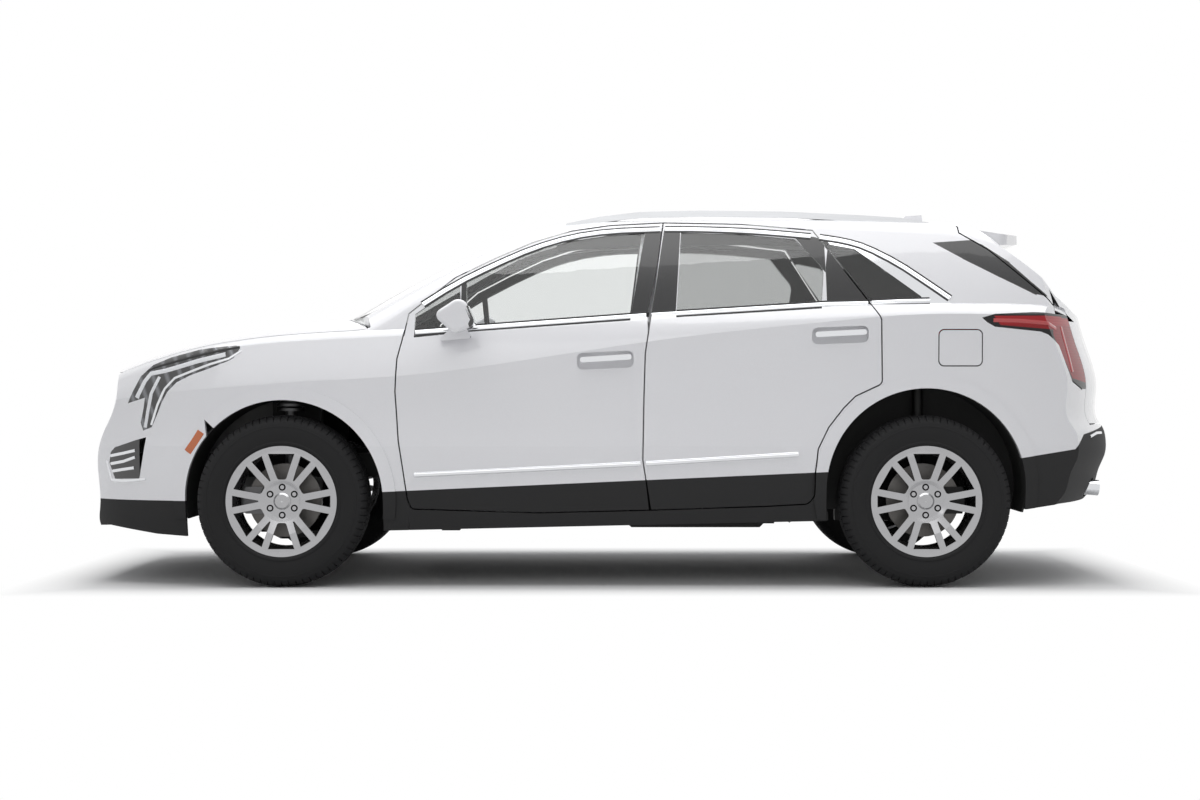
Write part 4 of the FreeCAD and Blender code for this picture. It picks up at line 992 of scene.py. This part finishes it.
class SUV_OT_seats(bpy.types.Operator):
    """Stuff and cover the seats"""
    bl_idname = "suv.seats"
    bl_label = "Cover the seats"

    def execute(self, context):
        hide = fix("seat_leather", leather)
        shapes = {}
        for label, outline, width, grid, swell, seams in (
                ("cushion", CUSHION, 0.500, 0.008, 0.012, sewn(0.150, 0.016, 0, (0.13, 0.31))),
                ("backrest", BACKREST, 0.470, 0.008, 0.012, sewn(0.140, 0.016, 2, (0.62, 0.76))),
                ("headrest", HEADREST, 0.260, 0.006, 0.010, ()),
                ("bench", BENCH, 1.190, 0.010, 0.012, sewn(0.185, 0.018, 0, (0.62, 0.77))),
                ("bench_back", BENCH_BACK, 1.190, 0.010, 0.012, sewn(0.185, 0.018, 2, (0.72, 0.86))),
                ("bench_headrest", BENCH_HEAD, 0.250, 0.006, 0.010, ())):
            made = pad_mesh(label + "_shape", outline, width, grid, swell, seams)
            made.data.materials.append(hide)
            shapes[label] = made.data
            bpy.data.objects.remove(made)
        first = True
        for name, sign in SIDES:
            for label in ("cushion", "backrest", "headrest"):
                place_pad(shapes[label], "front_%s_%s" % (label, name), FRONT_SEAT_X, sign * SEAT_Y,
                          "front_seats" if first else None)
                first = False
            self.frame(name, sign)
        place_pad(shapes["bench"], "rear_cushion", 0.0, 0.0, "rear_seat")
        place_pad(shapes["bench_back"], "rear_backrest", 0.0, 0.0)
        for label, y in (("left", -0.385), ("middle", 0.0), ("right", 0.385)):
            place_pad(shapes["bench_headrest"], "rear_headrest_" + label, 0.0, y)
        plinth = fix("seat_plinth", moulded, (0.02, 0.02, 0.02), 0.6)
        block("rear_plinth", (0.560, 0.800), (-0.500, 0.500), (FLOOR_TOP, 0.452), plinth, taper=0.03)
        return {"FINISHED"}

    def frame(self, name, sign):
        """Rails, side valances and headrest posts of one front seat."""
        steel = fix("seat_steel", metal, (0.20, 0.20, 0.20))
        plinth = fix("seat_plinth", moulded, (0.02, 0.02, 0.02), 0.6)
        x, y = FRONT_SEAT_X, sign * SEAT_Y
        for k, side in enumerate((-1, 1)):
            rail, post = y + side * 0.190, y + side * 0.060
            block("seat_rail_%s_%d" % (name, k), (x + 0.02, x + 0.46), (rail - 0.022, rail + 0.022),
                  (FLOOR_TOP, 0.335), steel)
            block("headrest_post_%s_%d" % (name, k), (x + 0.584, x + 0.594), (post - 0.006, post + 0.006),
                  (0.890, 0.950), steel)
        block("seat_plinth_" + name, (x + 0.06, x + 0.44), (y - 0.200, y + 0.200), (0.335, 0.440), plinth,
              taper=0.03)


def block(name, xs, ys, zs, material, taper=0.0):
    """A box with soft edges, its top drawn in by taper."""
    tidy = bmesh.new()
    corners = []
    for z, draw in ((zs[0], 0.0), (zs[1], taper)):
        corners += [tidy.verts.new(p) for p in (
            (xs[0] + draw, ys[0] + draw, z), (xs[1] - draw, ys[0] + draw, z), (xs[1] - draw, ys[1] - draw, z),
            (xs[0] + draw, ys[1] - draw, z))]
    for quad in ((3, 2, 1, 0), (4, 5, 6, 7), (0, 1, 5, 4), (1, 2, 6, 5), (2, 3, 7, 6), (3, 0, 4, 7)):
        tidy.faces.new([corners[i] for i in quad])
    edge = min(0.006, (xs[1] - xs[0]) / 4, (ys[1] - ys[0]) / 4, (zs[1] - zs[0]) / 4)
    bmesh.ops.bevel(tidy, geom=list(tidy.edges), offset=edge, segments=2, profile=0.6, affect="EDGES")
    verts = [v.co.copy() for v in tidy.verts]
    tidy.verts.index_update()
    faces = [[v.index for v in f.verts] for f in tidy.faces]
    tidy.free()
    return piece(name, verts, faces, material, "body", slot_of("front_structure"))


GATE_CORNER = [(2.030, 1.236), (2.052, 1.305), (2.120, 1.262), (2.185, 1.206), (2.100, 1.212)]


class SUV_OT_trim(bpy.types.Operator):
    """Lay the bright surrounds, mouldings and seals along the windows and doors"""
    bl_idname = "suv.trim"
    bl_label = "Lay the bright trim"

    def execute(self, context):
        bright = fix("bright_trim", chrome)
        seal = lamp_seal()
        wide = sizes().surround
        for name, sign in SIDES:
            front = Skin("front_door_" + name, "front_door_glass_" + name)
            rear = Skin("rear_door_" + name, "rear_door_glass_" + name)
            body = Skin("body_side_" + name, "fixed_glass")
            pieces = {
                "belt_front": ("front_door_" + name, front, [(-0.850, 1.131), (-0.600, 1.150), (0.178, 1.207)]),
                "belt_rear": ("rear_door_" + name, rear, [(0.203, 1.208), (0.975, 1.256), (1.165, 1.260)]),
                "belt_quarter": ("body", body, [(1.182, 1.262), (1.300, 1.268), (1.440, 1.271)]),
                "top_front": ("front_door_" + name, front, rounded([
                    (-0.868, 1.226), (-0.677, 1.352), (-0.504, 1.440), (-0.331, 1.518), (-0.159, 1.571),
                    (0.015, 1.597), (0.243, 1.605)], 1)),
                "top_rear": ("rear_door_" + name, rear, rounded([
                    (0.268, 1.606), (0.420, 1.605), (0.618, 1.597), (0.750, 1.587), (0.925, 1.570)], 1)),
                "top_quarter": ("body", body, rounded([
                    (0.965, 1.566), (1.077, 1.548), (1.170, 1.519), (1.308, 1.444), (1.434, 1.353),
                    (1.530, 1.283)], 1)),
            }
            for label, (rider, skin, line) in pieces.items():
                found = trace(skin, line, sign)
                strip("%s_%s" % (label, name), found, wide, 0.0045, bright, rider, slot_of("roof_rails"))
                strip("seal_%s_%s" % (label, name), found, wide + 2 * sizes().seal, 0.0015, seal, rider,
                      slot_of("dashboard"))
            self.gate_corner(name, sign)
            for label, rider, skin, line in (
                    ("moulding_front", "front_door_" + name, front, [(-0.850, 0.500), (0.152, 0.549)]),
                    ("moulding_rear", "rear_door_" + name, rear, [(0.176, 0.550), (0.850, 0.591)])):
                found = trace(skin, line, sign)
                strip("%s_%s" % (label, name), found, sizes().moulding, 0.009, bright, rider,
                      slot_of("roof_rails"))
        return {"FINISHED"}

    def gate_corner(self, name, sign):
        """The painted corner of the gate between the glass, the rear pillar and the tail lamp."""
        skin = Skin("liftgate", "tail_lamps", "body_side_" + name, "liftgate_glass")
        centre = [sum(point[i] for point in GATE_CORNER) / len(GATE_CORNER) for i in (0, 1)]
        hits = []
        for x, z in GATE_CORNER:
            for step in range(16):
                grow = 1 + 0.05 * step
                found = skin.side(centre[0] + (x - centre[0]) * grow, centre[1] + (z - centre[1]) * grow, sign)
                if found and found[0].y * sign > 0.55:
                    hits.append(found)
                    break
        if len(hits) < 3:
            raise RuntimeError("the gate corner has nothing to sit on")
        outer = [place + normal * 0.001 for place, normal in hits]
        inner = [place - normal * 0.004 for place, normal in hits]
        count = len(outer)
        middle = sum(outer, Vector()) / count
        verts = outer + inner + [middle, sum(inner, Vector()) / count]
        faces = []
        for i in range(count):
            k = (i + 1) % count
            faces += [(i, k, 2 * count), (count + k, count + i, 2 * count + 1), (i, count + i, count + k, k)]
        piece("gate_corner_" + name, verts, faces, fix("pearl_paint", paint), "liftgate", slot_of("liftgate"))


AMBIENT = 0.37
# Each soft box: name, place, what it faces, width and height, watts.
SOFT_BOXES = (
    ("overhead", (0.0, -0.5, 5.2), (0.0, 0.0, 0.0), (8.0, 5.0), 265),
    ("side", (-1.5, -7.5, 4.2), (0.0, 0.0, 0.8), (8.0, 3.0), 62),
    ("back", (1.0, 7.5, 4.0), (0.0, 0.0, 0.8), (8.0, 3.0), 62),
)
# The photo's camera, level, in pixels of its 1200-wide frame and metres.
FRAME_WIDTH = 1200.0
FOCAL = 1979.0
SHIFT = (-10.0, -12.0)
CAMERA_PLACE = (0.017, -9.685, 0.884)
SENSOR = 36.0
SHADOW_HALF = (2.30, 0.95)
SHADOW_FADE = 0.35


class SUV_OT_stage(bpy.types.Operator):
    """Set the floor, the light and the camera"""
    bl_idname = "suv.stage"
    bl_label = "Set the stage"

    def execute(self, context):
        scene = context.scene
        studio_floor()
        self.world(scene)
        self.lamps()
        self.camera(scene)
        scene.view_settings.view_transform = "Standard"
        return {"FINISHED"}

    def world(self, scene):
        """Even light all round, and plain white wherever the background itself is seen."""
        world = bpy.data.worlds.new("studio")
        scene.world = world
        world.use_nodes = True
        tree = world.node_tree
        ambient = tree.nodes["Background"]
        ambient.inputs["Color"].default_value = (0.97, 0.98, 1.0, 1)
        ambient.inputs["Strength"].default_value = AMBIENT
        white = tree.nodes.new("ShaderNodeBackground")
        white.inputs["Color"].default_value = (1, 1, 1, 1)
        mix = tree.nodes.new("ShaderNodeMixShader")
        tree.links.new(seen_directly(tree), mix.inputs[0])
        tree.links.new(ambient.outputs[0], mix.inputs[1])
        tree.links.new(white.outputs[0], mix.inputs[2])
        tree.links.new(mix.outputs[0], tree.nodes["World Output"].inputs[0])

    def lamps(self):
        for label, place, aim, size, power in SOFT_BOXES:
            light = bpy.data.lights.new(label, "AREA")
            light.shape = "RECTANGLE"
            light.size, light.size_y = size
            light.energy = power
            lamp = placed(label, light)
            lamp.location = place
            lamp.rotation_euler = (Vector(aim) - Vector(place)).to_track_quat("-Z", "Y").to_euler()

    def camera(self, scene):
        data = bpy.data.cameras.new("camera")
        data.sensor_width = SENSOR
        data.lens = FOCAL / FRAME_WIDTH * SENSOR
        data.shift_x, data.shift_y = (shift / FRAME_WIDTH for shift in SHIFT)
        camera = placed("camera", data)
        camera.location = CAMERA_PLACE
        camera.rotation_euler = (math.radians(90), 0, 0)
        scene.camera = camera


def seen_directly(tree):
    """1 where the camera, a reflection or a look through glass meets the surface."""
    path = tree.nodes.new("ShaderNodeLightPath")
    seen = path.outputs["Is Camera Ray"]
    for kind in ("Is Glossy Ray", "Is Transmission Ray"):
        most = tree.nodes.new("ShaderNodeMath")
        most.operation = "MAXIMUM"
        tree.links.new(seen, most.inputs[0])
        tree.links.new(path.outputs[kind], most.inputs[1])
        seen = most.outputs[0]
    return seen


def studio_floor():
    """A plain pale floor: it takes the shadow under the suv and is seen as white further out."""
    mesh = bpy.data.meshes.new("studio_floor")
    size = 60.0
    corners = [(-size, -size, 0), (size, -size, 0), (size, size, 0), (-size, size, 0)]
    mesh.from_pydata(corners, [], [(0, 1, 2, 3)])
    floor = placed("studio_floor", mesh)
    shader = Shader("studio_floor", Roughness=0.9, Base_Color=(0.86, 0.86, 0.86))
    outside = (abs(shader.x) - SHADOW_HALF[0]).larger(abs(shader.y) - SHADOW_HALF[1])
    outside = outside.rise(0.0, SHADOW_FADE)
    tree = shader.tree
    factor = outside * Value(shader, seen_directly(tree))
    glow = tree.nodes.new("ShaderNodeEmission")
    glow.inputs["Color"].default_value = (1, 1, 1, 1)
    mix = tree.nodes.new("ShaderNodeMixShader")
    tree.links.new(factor.socket, mix.inputs[0])
    tree.links.new(shader.surface.outputs[0], mix.inputs[1])
    tree.links.new(glow.outputs[0], mix.inputs[2])
    tree.links.new(mix.outputs[0], tree.nodes["Material Output"].inputs[0])
    mesh.materials.append(shader.material)
    return floor


class SUV_PT_panel(bpy.types.Panel):
    """Lists the steps of the finish"""
    bl_idname = "SUV_PT_panel"
    bl_label = "Suv finish"
    bl_space_type = "VIEW_3D"
    bl_region_type = "UI"
    bl_category = "Suv"

    def draw(self, context):
        layout = self.layout
        for group in (context.scene.suv_colours, context.scene.suv_sizes):
            for key in group.__annotations__:
                layout.prop(group, key)
        for step in STEPS:
            layout.operator(step.bl_idname)


STEPS = (SUV_OT_body, SUV_OT_running_gear, SUV_OT_tyres, SUV_OT_glass, SUV_OT_lamps, SUV_OT_cabin,
         SUV_OT_seats, SUV_OT_trim, SUV_OT_stage)
CLASSES = (SuvColours, SuvSizes) + STEPS + (SUV_PT_panel,)


def register():
    for kind in CLASSES:
        bpy.utils.register_class(kind)
    bpy.types.Scene.suv_colours = bpy.props.PointerProperty(type=SuvColours)
    bpy.types.Scene.suv_sizes = bpy.props.PointerProperty(type=SuvSizes)


def unregister():
    del bpy.types.Scene.suv_sizes
    del bpy.types.Scene.suv_colours
    for kind in reversed(CLASSES):
        bpy.utils.unregister_class(kind)


def main():
    register()
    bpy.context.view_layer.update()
    for step in STEPS:
        group, name = step.bl_idname.split(".")
        getattr(getattr(bpy.ops, group), name)()


if __name__ == "__main__":
    main()
